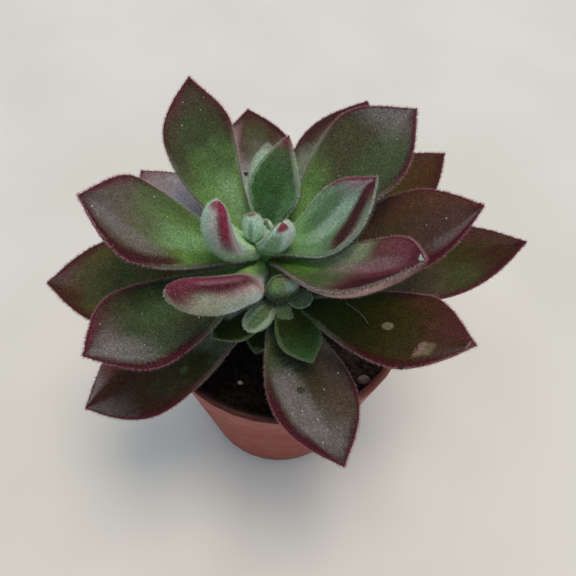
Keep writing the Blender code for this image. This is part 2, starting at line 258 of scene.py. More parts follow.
FROST = (0.40, 0.52, 0.40)
DRY = (0.17, 0.12, 0.06)
TAN = (0.24, 0.19, 0.10)

# Colours of hairs and margins.
PALE_PILE = (0.60, 0.68, 0.58)
SILVER_PILE = (0.46, 0.43, 0.40)
PALE_RIM = (0.28, 0.36, 0.23)
PALE_FRINGE = (0.55, 0.62, 0.50)
PINK_RIM = (0.34, 0.23, 0.22)
SOFT_RIM = (0.16, 0.18, 0.11)
PALE_DOWN = (0.68, 0.76, 0.62)
PINK_DOWN = (0.60, 0.50, 0.45)
DARK_FRINGE = (0.16, 0.22, 0.13)
WHITE = (0.68, 0.69, 0.62)
DOWN = (0.38, 0.39, 0.30)
NO_BLUSH = (1.0, 0.0)

# Colours of the other pieces and of the light.
POT_SHADES = ((0.235, 0.036, 0.015), (0.265, 0.046, 0.020))
POT_DUST = (0.58, 0.34, 0.24)
# Painted light: the upper wall of the pot is made paler, as if lit from above.
POT_LIT_TOP = (0.35, 0.105, 0.075)
# Painted shade on the pot's lip and inner wall, where the leaves shade them.
POT_LIP_SHADE = (0.050, 0.005, 0.003)
POT_INSIDE_SHADE = (0.006, 0.002, 0.0015)
PEAT_SHADES = ((0.0025, 0.002, 0.002), (0.026, 0.015, 0.009))
# Painted light: paler peat at the right of the soil, where light falls on it.
LIT_PEAT = (0.13, 0.075, 0.055)
BARK_SHADES = ((0.11, 0.11, 0.05), (0.07, 0.05, 0.025))
GREEN_STEM_SHADES = ((0.11, 0.24, 0.04), (0.08, 0.17, 0.03))
PEBBLE_SHADES = ((0.21, 0.12, 0.08), (0.44, 0.29, 0.21))
PERLITE_SHADES = ((0.16, 0.16, 0.16), (0.30, 0.30, 0.29))
DUST_SHADES = ((0.45, 0.45, 0.42), (0.75, 0.75, 0.70))
FIBRE_SHADES = ((0.10, 0.10, 0.07), (0.16, 0.16, 0.12))
FLOOR_SHADES = ((0.705, 0.637, 0.552), (0.745, 0.676, 0.595))
ROOM_LIGHT = (0.67, 0.83, 1.0, 1.0)
ROOM_STRENGTH = 0.74
WARM_LIGHT = (1.0, 0.86, 0.67)
COOL_LIGHT = (0.92, 0.96, 1.0)

# Steps that lie outside every blade.
ALL = (-9.0, -8.0, 8.0, 9.0)


def past(start, full):
    """Steps of an area that runs on over the tip or the right-hand margin."""
    return (start, full, *ALL[2:])


def until(last, gone):
    """Steps of an area that begins before the base or the left-hand margin."""
    return (*ALL[:2], last, gone)


def below(*patches):
    """The same patches on the underside."""
    return tuple(patch._replace(face=-1) for patch in patches)


# What several looks share: long silvery hairs, and dense pale down.
SILVERY = {"hair": 10.0, "pile": SILVER_PILE, "down": PINK_DOWN, "plain_rim": SOFT_RIM,
           "blush": (2.0, 0.85)}
DOWNY = {"bare": 0.0, "pile": PALE_PILE, "down": PALE_DOWN}

LEAVES = [
    ("leaf_01", Leaf(52.6, -106, -8, 0, 9.5, 7.0, widest=0.55, thickness=2.0),
     Look(BARK, SHADE, SHADE, rim=FERN, fringe=DARK_FRINGE, blush=NO_BLUSH, hair=3.0)),
    ("leaf_02", Leaf(55.6, -140, -12, 0, 40.5, 19.0, cup=0.2, roll=2, sway=-10, widest=0.64),
     Look((0.15, 0.16, 0.10), (0.042, 0.031, 0.012), SIENNA, young=(0.25, 0.45),
          turn=(0.55, 0.75), plain_rim=(0.13, 0.085, 0.075), down=(0.42, 0.32, 0.29), patches=(
        Patch(UMBER, (0.25, 0.4, 0.55, 0.7), past(-0.4, 0.2), 0.8),
        # Painted sheen, where the blade catches light from behind, over denser pale hairs.
        Patch(SILVER, past(0.72, 0.92), until(-0.4, 0.0), 0.28, pile=1.6),
        Patch(SHADE, (0.1, 0.2, 0.4, 0.6), until(-0.6, -0.2), 0.6),
        Patch((0.13, 0.045, 0.035), past(0.55, 0.7), past(0.25, 0.6), 0.7),
        # Painted sheen, where the blade catches light from behind, over denser pale hairs.
        Patch(SILVER, past(0.8, 0.92), past(0.3, 0.6), 0.5, pile=1.8)),
        spots=(Spot(FERN, 0.50, -0.51, 0.9, 0.5),))),
    ("leaf_03", Leaf(56.2, 2, 12, 15, 45.5, 18.0, roll=4, sway=5, point=2.3),
     Look(FERN, OLIVE, SIENNA, young=(0.2, 0.6), turn=(0.68, 0.85), bare=0.9, patches=(
        Patch(FERN, (0.3, 0.45, 0.7, 0.85), past(0.0, 0.5), 0.35),
        Patch((0.12, 0.07, 0.04), (0.2, 0.3, 0.58, 0.7), ALL, 0.75),
        Patch(PLUM, past(0.5, 0.7), until(-0.65, -0.3), 0.45),
        Patch(UMBER, past(0.7, 0.85), until(-0.4, 0.0), 0.6)))),
    ("leaf_04", Leaf(56.9, 139, -1, 5, 40.0, 17.5, roll=-5, sway=-1),
     Look(SPRING, (0.32, 0.265, 0.26), (0.21, 0.13, 0.135), young=(0.15, 0.45), turn=(0.75, 0.95), bare=0.9,
          blush=(2.0, 0.35), plain_rim=(0.14, 0.18, 0.11), down=PALE_DOWN, rim_from=0.65, patches=(
        Patch(MOSS, (0.30, 0.45, 0.55, 0.66), ALL, 0.3),))),
    ("leaf_05", Leaf(57.7, -75, 1, 10, 37.0, 16.0, cup=0.2, roll=4, sway=9, base=0.3),
     # Painted shade: the base of this blade is made near black, where the side shoot shades it.
     Look((0.020, 0.027, 0.008), TAUPE, (0.105, 0.086, 0.078), young=(0.34, 0.62),
          turn=(0.6, 0.95), pile=SILVER_PILE, patches=(
        Patch((0.28, 0.22, 0.15), (0.1, 0.2, 0.36, 0.5), until(-0.75, -0.35), 0.8),
        Patch((0.085, 0.055, 0.038), (0.32, 0.45, 0.7, 0.85), (-1.0, -0.85, -0.5, -0.15), 0.9),
        # Painted sheen, where the blade catches light from behind, over denser pale hairs.
        Patch(SILVER, (0.34, 0.52, 0.78, 0.92), (0.0, 0.4, 0.75, 0.95), 0.42, 0.6, 1.2),
        Patch(FERN, (0.1, 0.2, 0.4, 0.5), past(0.35, 0.75), 0.4),
        # Painted sheen, where the blade catches light from behind, over denser pale hairs.
        Patch(SILVER, (0.75, 0.85, 0.9, 1.0), (-0.6, -0.3, 0.1, 0.5), 0.15, 0.0, 1.0),
        Patch(PLUM, past(0.8, 0.95), past(0.5, 0.8), 0.5),
        Patch(WINE, past(0.5, 0.66), past(0.76, 0.9), 0.9, pile=-1.5),
        Patch(WINE, past(0.74, 0.86), past(0.58, 0.72), 0.85, pile=-1.5)),
        spots=(Spot(SHADE, 0.577, 0.25, 0.75, 0.8), Spot(SHADE, 0.467, 0.18, 0.5, 0.7)))),
    ("leaf_06", Leaf(58.8, 39, 16, 4, 40.5, 17.5, roll=2, sway=-4),
     Look(OLIVE, (0.06, 0.045, 0.009), (0.075, 0.028, 0.011), turn=(0.6, 0.9), bare=0.95,
          patches=(Patch(SIENNA, past(0.6, 0.8), past(0.2, 0.7), 0.6),
        Patch(UMBER, past(0.75, 0.9), until(-0.6, -0.2), 0.6)))),
    ("leaf_07", Leaf(59.7, 101, 10, 5, 38.5, 17.5, roll=3, sway=2),
     Look(GRASS, MAUVE, UMBER, young=(0.34, 0.5), turn=(0.55, 0.8), bare=0.8, patches=(
        Patch(FROST, (0.1, 0.25, 0.45, 0.62), ALL, 0.45),
        Patch(FERN, (0.55, 0.68, 0.82, 0.92), (-0.5, -0.1, 0.3, 0.7), 0.45),
        Patch(ROSE, (0.56, 0.66, 0.8, 0.95), until(-0.6, -0.3), 0.6)),
        spots=(Spot(WINE, 0.537, -0.34, 0.55, 0.95),))),
    ("leaf_08", Leaf(59.8, -170, 1, 9, 40.0, 19.5, cup=0.25, roll=10, sway=-2, widest=0.63),
     Look(MOSS, (0.068, 0.060, 0.018), UMBER, turn=(0.78, 0.95), fringe=(0.48, 0.26, 0.26), patches=(
        Patch(MOSS, (0.45, 0.6, 0.78, 0.9), (-0.7, -0.3, 0.3, 0.7), 0.4),
        Patch(SIENNA, past(0.74, 0.9), until(-0.5, -0.1), 0.7),
        Patch(PLUM, past(0.7, 0.9), past(0.3, 0.7), 0.35),
        # Painted sheen at the tip, where the blade catches light from behind, over denser pale hairs.
        Patch(SILVER, past(0.8, 0.95), (-0.3, 0.1, 0.6, 0.9), 0.12, pile=1.4),))),
    ("leaf_09", Leaf(60.2, -40, 14, 18, 39.0, 18.0, roll=4, sway=16, widest=0.7, point=1.8),
     Look(SHADE, (0.031, 0.026, 0.004), (0.060, 0.025, 0.015), turn=(0.6, 0.85), bare=0.85,
          fringe=(0.46, 0.20, 0.20), patches=(
        Patch(FOREST, until(0.15, 0.35), ALL, 0.3),
        Patch((0.022, 0.032, 0.006), (0.12, 0.25, 0.35, 0.6), ALL, 0.7),
        Patch(RUSSET, past(0.5, 0.7), until(-0.75, -0.4), 0.6),
        Patch(PLUM, past(0.75, 0.9), until(-0.4, 0.1), 0.35),
        # Painted sheen at the tip, where the blade catches light from behind, over denser pale hairs.
        Patch(SILVER, past(0.8, 0.95), (0.3, 0.6, 0.8, 1.0), 0.12, pile=1.0),
        Patch((0.17, 0.14, 0.07), (0.78, 0.80, 0.83, 0.85), (0.15, 0.25, 0.6, 0.75), 0.7),
        Patch((0.24, 0.15, 0.12), (0.765, 0.78, 0.79, 0.805), (0.15, 0.25, 0.6, 0.8), 0.8),
        Patch(ROSE, past(0.955, 0.975), ALL, 0.4)),
        spots=(Spot(TAN, 0.589, 0.03, 1.05, 0.85), Spot(DRY, 0.586, 0.05, 0.5, 0.5)))),
    ("leaf_10", Leaf(62.4, 65, 13, 5, 41.0, 18.0, roll=2),
     Look(GRASS, (0.15, 0.17, 0.11), UMBER, young=(0.2, 0.4), turn=(0.5, 0.75), bare=0.7,
          plain_rim=(0.16, 0.11, 0.10), down=PINK_DOWN, patches=(
        Patch(WINE, (0.5, 0.65, 0.85, 0.95), (-1.0, -0.85, -0.75, -0.6), 0.6),))),
    ("leaf_11", Leaf(63.2, -33, 9, 6, 10.0, 5.0, widest=0.55, thickness=2.0),
     Look(SHADE, SHADE, SHADE, rim=FERN, fringe=DARK_FRINGE, blush=NO_BLUSH, hair=4.0)),
    ("leaf_12", Leaf(64.9, -140, 4, 16, 36.0, 16.5, cup=0.27, roll=8, sway=4, widest=0.68,
                     base=0.28, point=2.3),
     Look(GRASS, (0.047, 0.056, 0.026), ASH, turn=(0.72, 0.95), bare=0.2, pile=SILVER_PILE, patches=(
        Patch(BARK, (0.15, 0.3, 0.45, 0.6), until(-0.3, 0.1), 0.45),
        # Painted sheen along the margin, where the cupped blade catches light from behind, over denser pale
        # hairs.
        Patch(SILVER, past(0.62, 0.85), (-1.45, -1.15, -0.85, -0.35), 0.4, -1.8, 1.5),
        Patch(FOREST, (0.2, 0.35, 0.6, 0.75), (-0.4, 0.2, 0.7, 1.0), 0.5),
        Patch(SHADE, (0.35, 0.5, 0.62, 0.75), (0.15, 0.5, 0.85, 1.0), 0.45),
        Patch(WINE, past(0.80, 0.96), (0.35, 0.65, 0.95, 1.1), 0.6, pile=-0.6),
        Patch(BARK, (0.55, 0.65, 0.85, 0.98), past(0.3, 0.75), 0.6),
        Patch(PLUM, past(0.72, 0.92), past(0.4, 0.8), 0.7),
        Patch(WINE, (0.40, 0.55, 0.9, 1.05), until(-0.95, -0.80), 0.9, pile=-0.8)))),
    ("leaf_13", Leaf(65.6, -1, 21, 18, 37.0, 18.0, cup=0.28, roll=-2, sway=6),
     Look(OLIVE, (0.062, 0.040, 0.022), (0.075, 0.032, 0.028), bare=0.5, patches=(
        Patch((0.105, 0.042, 0.026), past(0.2, 0.5), until(-0.7, -0.1), 0.7),
        # Painted sheen near the tip along the right margin, where it catches light from behind, over denser
        # pale hairs.
        Patch(MAUVE, (0.68, 0.80, 0.95, 1.05), (0.35, 0.6, 0.72, 0.92), 0.4, pile=2.0),
        Patch(PLUM, past(0.45, 0.65), past(0.60, 0.85), 0.5),
        Patch(WINE, past(0.45, 0.7), past(0.78, 0.93), 0.85, pile=-0.8)))),
    ("leaf_14", Leaf(66.4, 136, 20, 20, 37.0, 14.5, cup=0.36, roll=22, sway=-36, widest=0.67,
                     base=0.24, point=2.0),
     Look((0.148, 0.27, 0.072), (0.048, 0.062, 0.024), (0.070, 0.044, 0.026), young=(0.2, 0.70),
          turn=(0.66, 0.92), bare=0.0, rim_from=0.45, fringe=(0.52, 0.24, 0.25), **SILVERY, patches=(
        Patch(FROST, until(0.3, 0.5), (-0.3, 0.3, 0.6, 1.0), 0.2),
        Patch(TAUPE, (0.35, 0.5, 0.8, 0.95), until(-0.7, -0.3), 0.6),
        Patch(UMBER, past(0.55, 0.85), past(0.45, 0.8), 0.7),
        Patch(PLUM, past(0.7, 0.9), until(-0.7, -0.3), 0.45)))),
    ("leaf_15", Leaf(67.5, 188, 20, 33, 33.5, 19.5, cup=0.39, sway=-2, widest=0.7, base=0.22,
                     point=1.9),
     Look(LIME, SAGE, ASH, young=(0.3, 0.75), turn=(0.6, 1.0), bare=0.0, rim_from=0.4,
          fringe=(0.60, 0.24, 0.26), **SILVERY, patches=(
        Patch(MINT, (0.05, 0.15, 0.42, 0.62), (-0.6, -0.3, 0.1, 0.5), 0.5),
        Patch((0.055, 0.078, 0.030), (0.15, 0.3, 0.6, 0.75), past(0.3, 0.75), 0.55),
        Patch(RUSSET, (0.36, 0.5, 0.9, 1.0), until(-0.75, -0.25), 0.55),
        # Painted sheen along the left margin, where the cupped blade catches light from behind, over denser
        # pale hairs.
        Patch(MAUVE, (0.45, 0.6, 0.9, 1.0), (-1.1, -0.85, -0.6, -0.35), 0.4, -1.5, 1.5),
        Patch(PLUM, past(0.65, 0.9), past(0.55, 0.85), 0.7),
        Patch(WINE, (0.36, 0.52, 0.92, 1.0), until(-0.84, -0.64), 0.9, pile=-0.8)))),
    ("leaf_16", Leaf(68.5, 98, 40, 5, 17.5, 7.0, cup=0.55, sway=-9, base=0.28, thickness=2.3,
                     point=2.6),
     Look(MINT, FROST, FROST, rim=PALE_RIM, fringe=PALE_FRINGE, fuzz=0.5, blush=NO_BLUSH,
          belly=MINT, hair=12.0, **DOWNY, patches=(
        Patch(PINK_RIM, past(0.72, 0.85), past(-0.4, 0.2), 0.5),
        Patch(DRY, past(0.9, 0.96), ALL, 0.8)))),
    ("leaf_17", Leaf(68.5, 38, 35, 4, 34.0, 19.5, cup=0.56, roll=-1, sway=-5, widest=0.66,
                     base=0.33, thickness=3.0, point=2.0),
     Look((0.235, 0.42, 0.135), MOSS, ASH, young=(0.08, 0.44), turn=(0.75, 1.0), rim_from=0.45,
          bare=0.2, **SILVERY, patches=(
        Patch(GRASS, until(0.4, 0.55), until(-0.5, -0.1), 0.6),
        Patch(TAUPE, (0.3, 0.5, 0.8, 0.95), until(-0.3, 0.1), 0.6),
        Patch(FERN, (0.45, 0.6, 0.8, 0.9), (-0.2, 0.2, 0.6, 0.9), 0.3, pile=0.5),
        # Painted sheen near the tip, where the blade catches light from behind, over denser pale hairs.
        Patch(SILVER, (0.72, 0.86, 0.95, 1.1), until(-0.4, 0.5), 0.4, pile=1.2),
        Patch(PLUM, past(0.8, 0.95), past(0.5, 0.85), 0.4)))),
    ("leaf_18", Leaf(69.7, -40, 25, 39, 35.0, 16.0, cup=0.6, roll=2, sway=5, widest=0.63,
                     base=0.34, thickness=2.9, point=2.0),
     Look((0.15, 0.32, 0.05), (0.09, 0.11, 0.055), PLUM, young=(0.15, 0.42), turn=(0.5, 0.8),
          bare=0.0, hair=10.0, belly=(0.42, 0.25, 0.21), rim_from=0.35, rim_side=-1,
          plain_rim=(0.12, 0.085, 0.06), down=PINK_DOWN, fringe=(0.32, 0.07, 0.10), patches=(
        Patch((0.44, 0.49, 0.30), (0.10, 0.22, 0.42, 0.6), until(-0.6, 0.25), 0.85),
        Patch((0.06, 0.105, 0.025), until(0.4, 0.55), past(0.25, 0.6), 0.75),
        Patch(PLUM, past(0.42, 0.62), past(-0.45, -0.1), 0.75, pile=-0.5),
        # Painted highlight along the fold of the blade, over denser pale hairs.
        Patch(ROSE, (0.3, 0.45, 0.72, 0.9), (-0.5, -0.2, 0.0, 0.25), 0.4, 0.6, 1.0),
        Patch(WINE, past(0.46, 0.68), (0.15, 0.4, 0.85, 1.05), 0.95, pile=-0.8),
        Patch(PLUM, past(0.5, 0.72), until(-0.7, -0.4), 0.8),
        Patch((0.20, 0.06, 0.07), (0.5, 0.62, 0.8, 0.9), until(-0.65, -0.3), 0.6),
        Patch(WINE, past(0.78, 0.92), past(0.1, 0.5), 0.9, pile=-0.9),
        Patch(PALE_PILE, past(0.925, 0.945), until(-0.5, -0.3), 0.9),
        Patch(PALE_PILE, past(0.97, 0.98), past(0.5, 0.7), 0.8)))),
    ("leaf_19", Leaf(68.3, -109, 27, 27, 27.0, 5.7, cup=0.35, roll=-108, sway=-40, widest=0.64,
                     base=0.45, thickness=6.8, blunt=True),
     Look((0.26, 0.46, 0.12), GRASS, PLUM, belly=DOWN, hair=14.0, bare=0.0, pile=PALE_PILE,
          rim=CRIMSON, rim_side=-1, plain_rim=(0.34, 0.26, 0.25), down=PINK_DOWN, fuzz=0.5, patches=below(
        Patch(WHITE, until(0.25, 0.5), ALL, 0.9),
        Patch(WHITE, (0.2, 0.35, 0.5, 0.65), past(0.2, 0.7), 0.5),
        Patch((0.50, 0.27, 0.27), (0.12, 0.26, 0.6, 0.8), until(-0.35, 0.05), 0.65),
        Patch(TAN, past(0.52, 0.72), past(-0.4, 0.0), 0.5),
        Patch(PLUM, past(0.78, 0.95), until(0.0, 0.5), 0.5, pile=-0.5),
        Patch(UMBER, past(0.42, 0.62), until(-0.5, 0.0), 0.8, pile=-0.4),
        Patch(PLUM, past(0.22, 0.4), until(-0.62, -0.28), 0.95, pile=-0.9),
        Patch(MAGENTA, past(0.20, 0.36), until(-0.90, -0.7), 0.7, pile=-0.5),
        Patch(WINE, (0.45, 0.6, 0.8, 0.9), (-0.80, -0.7, -0.6, -0.4), 0.5),
        Patch(ROSE, (0.35, 0.5, 0.8, 0.9), (-0.92, -0.85, -0.78, -0.68), 0.25),
        Patch(PLUM, past(0.80, 0.97), until(0.3, 0.8), 0.9, pile=-0.7)))),
    ("leaf_20", Leaf(71.6, 84, 48, 6, 17.0, 10.5, cup=0.74, roll=2, sway=-17, widest=0.4,
                     base=0.43, thickness=2.8, point=1.9),
     Look((0.050, 0.115, 0.040), (0.038, 0.098, 0.024), (0.075, 0.10, 0.045), rim=CRIMSON,
          rim_from=0.72, hair=16.0, blush=(1.0, 0.3), belly=FERN, plain_rim=(0.18, 0.26, 0.15),
          fuzz=0.6, **DOWNY, patches=(
        Patch(MINT, until(0.3, 0.6), (0.2, 0.6, 0.9, 1.0), 0.3),
        Patch(PINK_RIM, (0.4, 0.6, 0.85, 1.0), past(0.72, 0.9), 0.5),
        Patch(CRIMSON, past(0.80, 0.95), ALL, 0.75, pile=-0.3)))),
    ("leaf_21", Leaf(72.0, -13, 38, 43, 25.0, 13.0, cup=0.68, roll=-19, sway=18, widest=0.53,
                     base=0.56, thickness=2.8),
     Look((0.21, 0.37, 0.14), (0.165, 0.265, 0.14), PLUM, young=(0.15, 0.42), turn=(0.82, 0.98),
          hair=13.0, rim=CRIMSON, rim_from=0.4, rim_side=-1, blush=(1.0, 0.3),
          belly=(0.085, 0.07, 0.045), plain_rim=(0.18, 0.23, 0.14), fuzz=0.6, **DOWNY, patches=(
        Patch(FOREST, (0.1, 0.25, 0.55, 0.8), (-0.85, -0.6, -0.4, -0.1), 0.5, 0.4),
        Patch(FOREST, until(0.5, 0.6), past(0.1, 0.6), 0.35),
        # Painted highlight along the middle of the blade, over denser pale hairs.
        Patch(FROST, (0.15, 0.35, 0.85, 1.0), (-0.4, -0.15, 0.1, 0.35), 0.5, 1.1, 0.9),
        Patch(MAUVE, (0.55, 0.68, 0.9, 1.0), until(-0.6, -0.2), 0.5),
        Patch(PLUM, past(0.40, 0.52), (0.30, 0.55, 1.1, 1.5), 0.75, 2.2, -0.5),
        Patch(WINE, past(0.41, 0.54), (0.40, 0.62, 0.90, 1.2), 0.9, 2.2, -0.8),
        Patch(PLUM, past(0.76, 0.92), past(-0.5, -0.1), 0.8, pile=-0.5),
        Patch(ROSE, (0.5, 0.6, 0.9, 1.0), past(0.84, 0.95), 0.8),
        Patch(ROSE, past(0.70, 0.84), until(-0.6, -0.2), 0.85)))),
    ("leaf_22", Leaf(73.0, 215, 44, 73, 17.0, 7.6, cup=1.0, roll=19, sway=27, widest=0.41,
                     base=0.78, thickness=4.8, blunt=True),
     Look((0.54, 0.78, 0.42), (0.50, 0.58, 0.48), FROST, belly=(0.34, 0.46, 0.27), hair=17.0,
          rim=(0.50, 0.44, 0.41), plain_rim=(0.42, 0.48, 0.40), fuzz=0.5, fringe=PALE_FRINGE,
          blush=NO_BLUSH, **DOWNY, patches=below(
        Patch(FROST, past(0.5, 0.75), ALL, 0.7),
        Patch(ROSE, past(0.46, 0.64), until(-0.85, -0.45), 0.55, -2.0),
        Patch(UMBER, (0.45, 0.6, 0.85, 1.0), until(-0.9, -0.65), 0.7, -1.0, -0.4),
        Patch(CRIMSON, past(0.5, 0.75), until(-0.95, -0.70), 0.9, -0.9, -0.6),
        Patch(CRIMSON, past(0.90, 0.96), until(0.2, 0.6), 0.85, pile=-0.6),
        Patch(WHITE, (0.1, 0.3, 0.85, 0.95), past(0.6, 0.85), 0.6),
        Patch(ROSE, (0.3, 0.5, 0.85, 0.95), until(-0.95, -0.85), 0.7)))),
]

BROWN_TIP = Patch((0.17, 0.045, 0.03), past(0.955, 0.985), ALL, 0.8)
YOUNG = Look(MINT, FROST, FROST, rim=CRIMSON, rim_from=0.8, belly=(0.48, 0.64, 0.48), blush=(0.5, 0.0),
             hair=16.0, fringe=PALE_FRINGE, plain_rim=PALE_RIM, fuzz=0.5, **DOWNY, patches=(
                 *below(Patch(FOREST, (0.1, 0.3, 0.8, 0.95), (-0.1, 0.1, 0.2, 0.4), 0.5), BROWN_TIP),
                 BROWN_TIP))
BENT = YOUNG._replace(patches=(
    *below(Patch(WHITE, (0.5, 0.62, 0.85, 0.95), until(-0.3, 0.2), 0.8),
           Patch((0.12, 0.23, 0.05), until(0.45, 0.6), past(-0.9, -0.6), 0.85),
           Patch((0.12, 0.22, 0.08), (0.3, 0.5, 0.8, 0.92), past(0.05, 0.4), 0.8),
           Patch(FROST, past(0.2, 0.4), past(0.80, 0.95), 0.8),
           Patch(WHITE, past(0.0, 0.2), until(-0.9, -0.65), 0.8),
           Patch(CRIMSON, past(0.86, 0.93), (-0.5, -0.2, 0.5, 0.9), 0.95, pile=-0.6)),
    Patch(CRIMSON, past(0.90, 0.96), ALL, 0.9)))
SPROUT = Look(FOREST, FERN, FERN, rim=PALE_RIM, belly=MINT, blush=(0.5, 0.0), hair=15.0,
              bare=0.0, pile=PALE_PILE, fringe=PALE_FRINGE, plain_rim=(0.14, 0.19, 0.11),
              down=(0.55, 0.62, 0.50), fuzz=0.45)
SMALL_SPROUT = SPROUT._replace(base=SHADE, middle=(0.085, 0.12, 0.055), tip=(0.10, 0.14, 0.07),
                               rim=FERN, pile=(0.30, 0.36, 0.28))
STRIPED = SPROUT._replace(base=MOSS, middle=(0.10, 0.14, 0.06), tip=(0.10, 0.14, 0.06), patches=(
    Patch(FROST, (0.2, 0.4, 0.8, 0.95), (-0.95, -0.85, -0.7, -0.5), 0.4),
    Patch(FROST, (0.2, 0.4, 0.8, 0.95), (0.2, 0.45, 0.6, 0.8), 0.3)))
DARK_SPROUT = SPROUT._replace(base=SHADE, middle=SHADE, tip=(0.03, 0.07, 0.02), hair=4.0, belly=FOREST,
                              pile=(0.10, 0.14, 0.08), rim=FERN, fringe=DARK_FRINGE,
                              plain_rim=FERN, down=(0.20, 0.26, 0.16))
BUD = SPROUT._replace(base=SHADE, middle=FERN, belly=(0.125, 0.17, 0.09), hair=22.0, rim=(0.50, 0.50, 0.36),
                      plain_rim=(0.42, 0.46, 0.32), patches=below(
    Patch(SHADE, until(0.4, 0.72), ALL, 0.8),
    Patch(FROST, (0.55, 0.68, 0.85, 0.95), until(-0.4, 0.0), 0.5),
    Patch(GRASS, (0.55, 0.7, 0.85, 0.95), (0.0, 0.3, 0.6, 0.9), 0.4),
    Patch(TAN, past(0.82, 0.93), until(0.2, 0.6), 0.7),
    Patch(PLUM, past(0.93, 0.98), ALL, 0.7)))

CROWN_LEAVES = [
    (Leaf(-0.4, 213, 73, 16, 7.9, 3.5, cup=0.4, roll=-37, sway=36, base=0.52, thickness=3.3,
          blunt=True), YOUNG),
    (Leaf(-1.2, -62, 40, 62, 12.9, 6.5, cup=0.8, sway=14, widest=0.44, base=0.77, thickness=2.9,
          blunt=True), BENT),
    (Leaf(0.1, 45, 95, 13, 3.3, 2.3, cup=1.2, sway=8, widest=0.55, base=0.68, thickness=1.3,
          blunt=True), YOUNG),
]

SHOOT_LEAVES = [
    (Leaf(0.2, -66, 79, 47, 6.2, 6.2, cup=0.35, sway=-23, widest=0.41, base=0.57, thickness=2.9,
          blunt=True), BUD),
    (Leaf(-0.8, -121, 0, 6, 8.8, 4.8, cup=0.4, sway=-6, base=0.45, thickness=2.0, blunt=True),
     STRIPED),
    (Leaf(-0.3, -19, 11, 0, 5.2, 4.2, base=0.45, thickness=1.8, blunt=True), SMALL_SPROUT),
    (Leaf(-0.3, -74, -6, 0, 5.4, 2.8, base=0.5, thickness=1.6, blunt=True), SMALL_SPROUT),
    (Leaf(-1.1, -66, -3, 6, 14.0, 8.2, cup=0.35, sway=4, base=0.4, thickness=2.4), DARK_SPROUT),
    (Leaf(-2.0, -147, -10, 6, 13.5, 8.5, sway=4, base=0.4, thickness=2.4),
     DARK_SPROUT._replace(tip=SHADE, patches=(
         Patch(FROST, (0.1, 0.22, 0.6, 0.75), past(0.15, 0.4), 0.5, pile=2.0),))),
    (Leaf(0.0, 85, 80, 0, 2.8, 2.4, cup=0.8, widest=0.5, base=0.6, thickness=1.4, blunt=True),
     SPROUT),
]

CROWN = Cluster((-3.9, -1.9, 74.0), 2.1, 2.0, 1.2, CROWN_LEAVES, seed=300)
SHOOT = Cluster((-0.6, -8.6, 65.0), 1.9, 0.3, 1.3, SHOOT_LEAVES, seed=340)


def smooth(value, low, high):
    t = np.clip((np.asarray(value, float) - low) / (high - low), 0, 1)
    return t * t * (3 - 2 * t)


def unit(vectors):
    return vectors / np.maximum(np.linalg.norm(vectors, axis=-1, keepdims=True), 1e-9)


def at_places(places, run, points):
    """Points at some places along a line, whose own points lie at the places in run."""
    return np.stack([np.interp(places, run, points[:, i]) for i in range(3)], -1)


def outward(azimuth):
    a = math.radians(azimuth)
    return np.array([math.cos(a), math.sin(a), 0.0])


def stem_axis(height):
    share = max((height - STEM_LEAN_FROM) / (STEM_LEAN_TO - STEM_LEAN_FROM), 0.0)
    return np.array([STEM_LEAN[0] * share, STEM_LEAN[1] * share, height])


def stem_radius(height):
    taper = min(max((height - STEM_TAPER_FROM) / STEM_TAPER_LENGTH, 0.0), 1.0)
    return STEM_RADIUS - STEM_TAPER * taper


def stem_seat(leaf):
    lift = UPPER_SHARE * leaf.thickness * abs(math.sin(math.radians(leaf.rise)))
    return stem_axis(leaf.seat) + (stem_radius(leaf.seat) + STEM_GAP + lift) * outward(leaf.azimuth)


def heart_seat(leaf, cluster):
    lifted = np.array(cluster.heart) + np.array([0, 0, leaf.seat])
    return lifted + cluster.seat_radius * outward(leaf.azimuth)


def midrib(leaf, seat):
    """Points of the midrib with its right-hand and upper directions."""
    share = np.linspace(0, 1, MIDRIB_STEPS + 1)
    pitch = np.radians(leaf.rise + leaf.bend * share**BEND_POWER)
    heading = np.radians(leaf.azimuth + leaf.sway * share)
    forward = np.stack(
        [np.cos(pitch) * np.cos(heading), np.cos(pitch) * np.sin(heading), np.sin(pitch)], -1
    )
    steps = (forward[1:] + forward[:-1]) / 2 * leaf.length / MIDRIB_STEPS
    points = seat + np.concatenate([np.zeros((1, 3)), np.cumsum(steps, 0)])
    flat_right = np.stack([np.sin(heading), -np.cos(heading), np.zeros_like(share)], -1)
    flat_upper = np.cross(flat_right, forward)
    roll = (math.radians(leaf.roll) * smooth(share, 0, ROLL_REACH))[:, None]
    right = flat_right * np.cos(roll) + flat_upper * np.sin(roll)
    upper = flat_upper * np.cos(roll) - flat_right * np.sin(roll)
    return share, points, right, upper


def half_width(leaf, share):
    shoulder = np.sin(np.pi / 2 * np.clip(share / leaf.widest, 0, 1) ** SHOULDER_POWER)
    lower = leaf.base + (1 - leaf.base) * shoulder
    beyond = np.clip((share - leaf.widest) / (1 - leaf.widest), 0, 1)
    power = BLUNT_POWER if leaf.blunt else SHARP_POWER
    return leaf.width / 2 * np.where(share < leaf.widest, lower, (1 - beyond**leaf.point) ** power)


def blade_thickness(leaf, share):
    swell = 0.65 + 0.35 * np.sin(np.pi * share**0.8)
    return leaf.thickness * swell * np.clip(1 - share**4, 0, 1) ** (0.5 if leaf.blunt else 0.6)


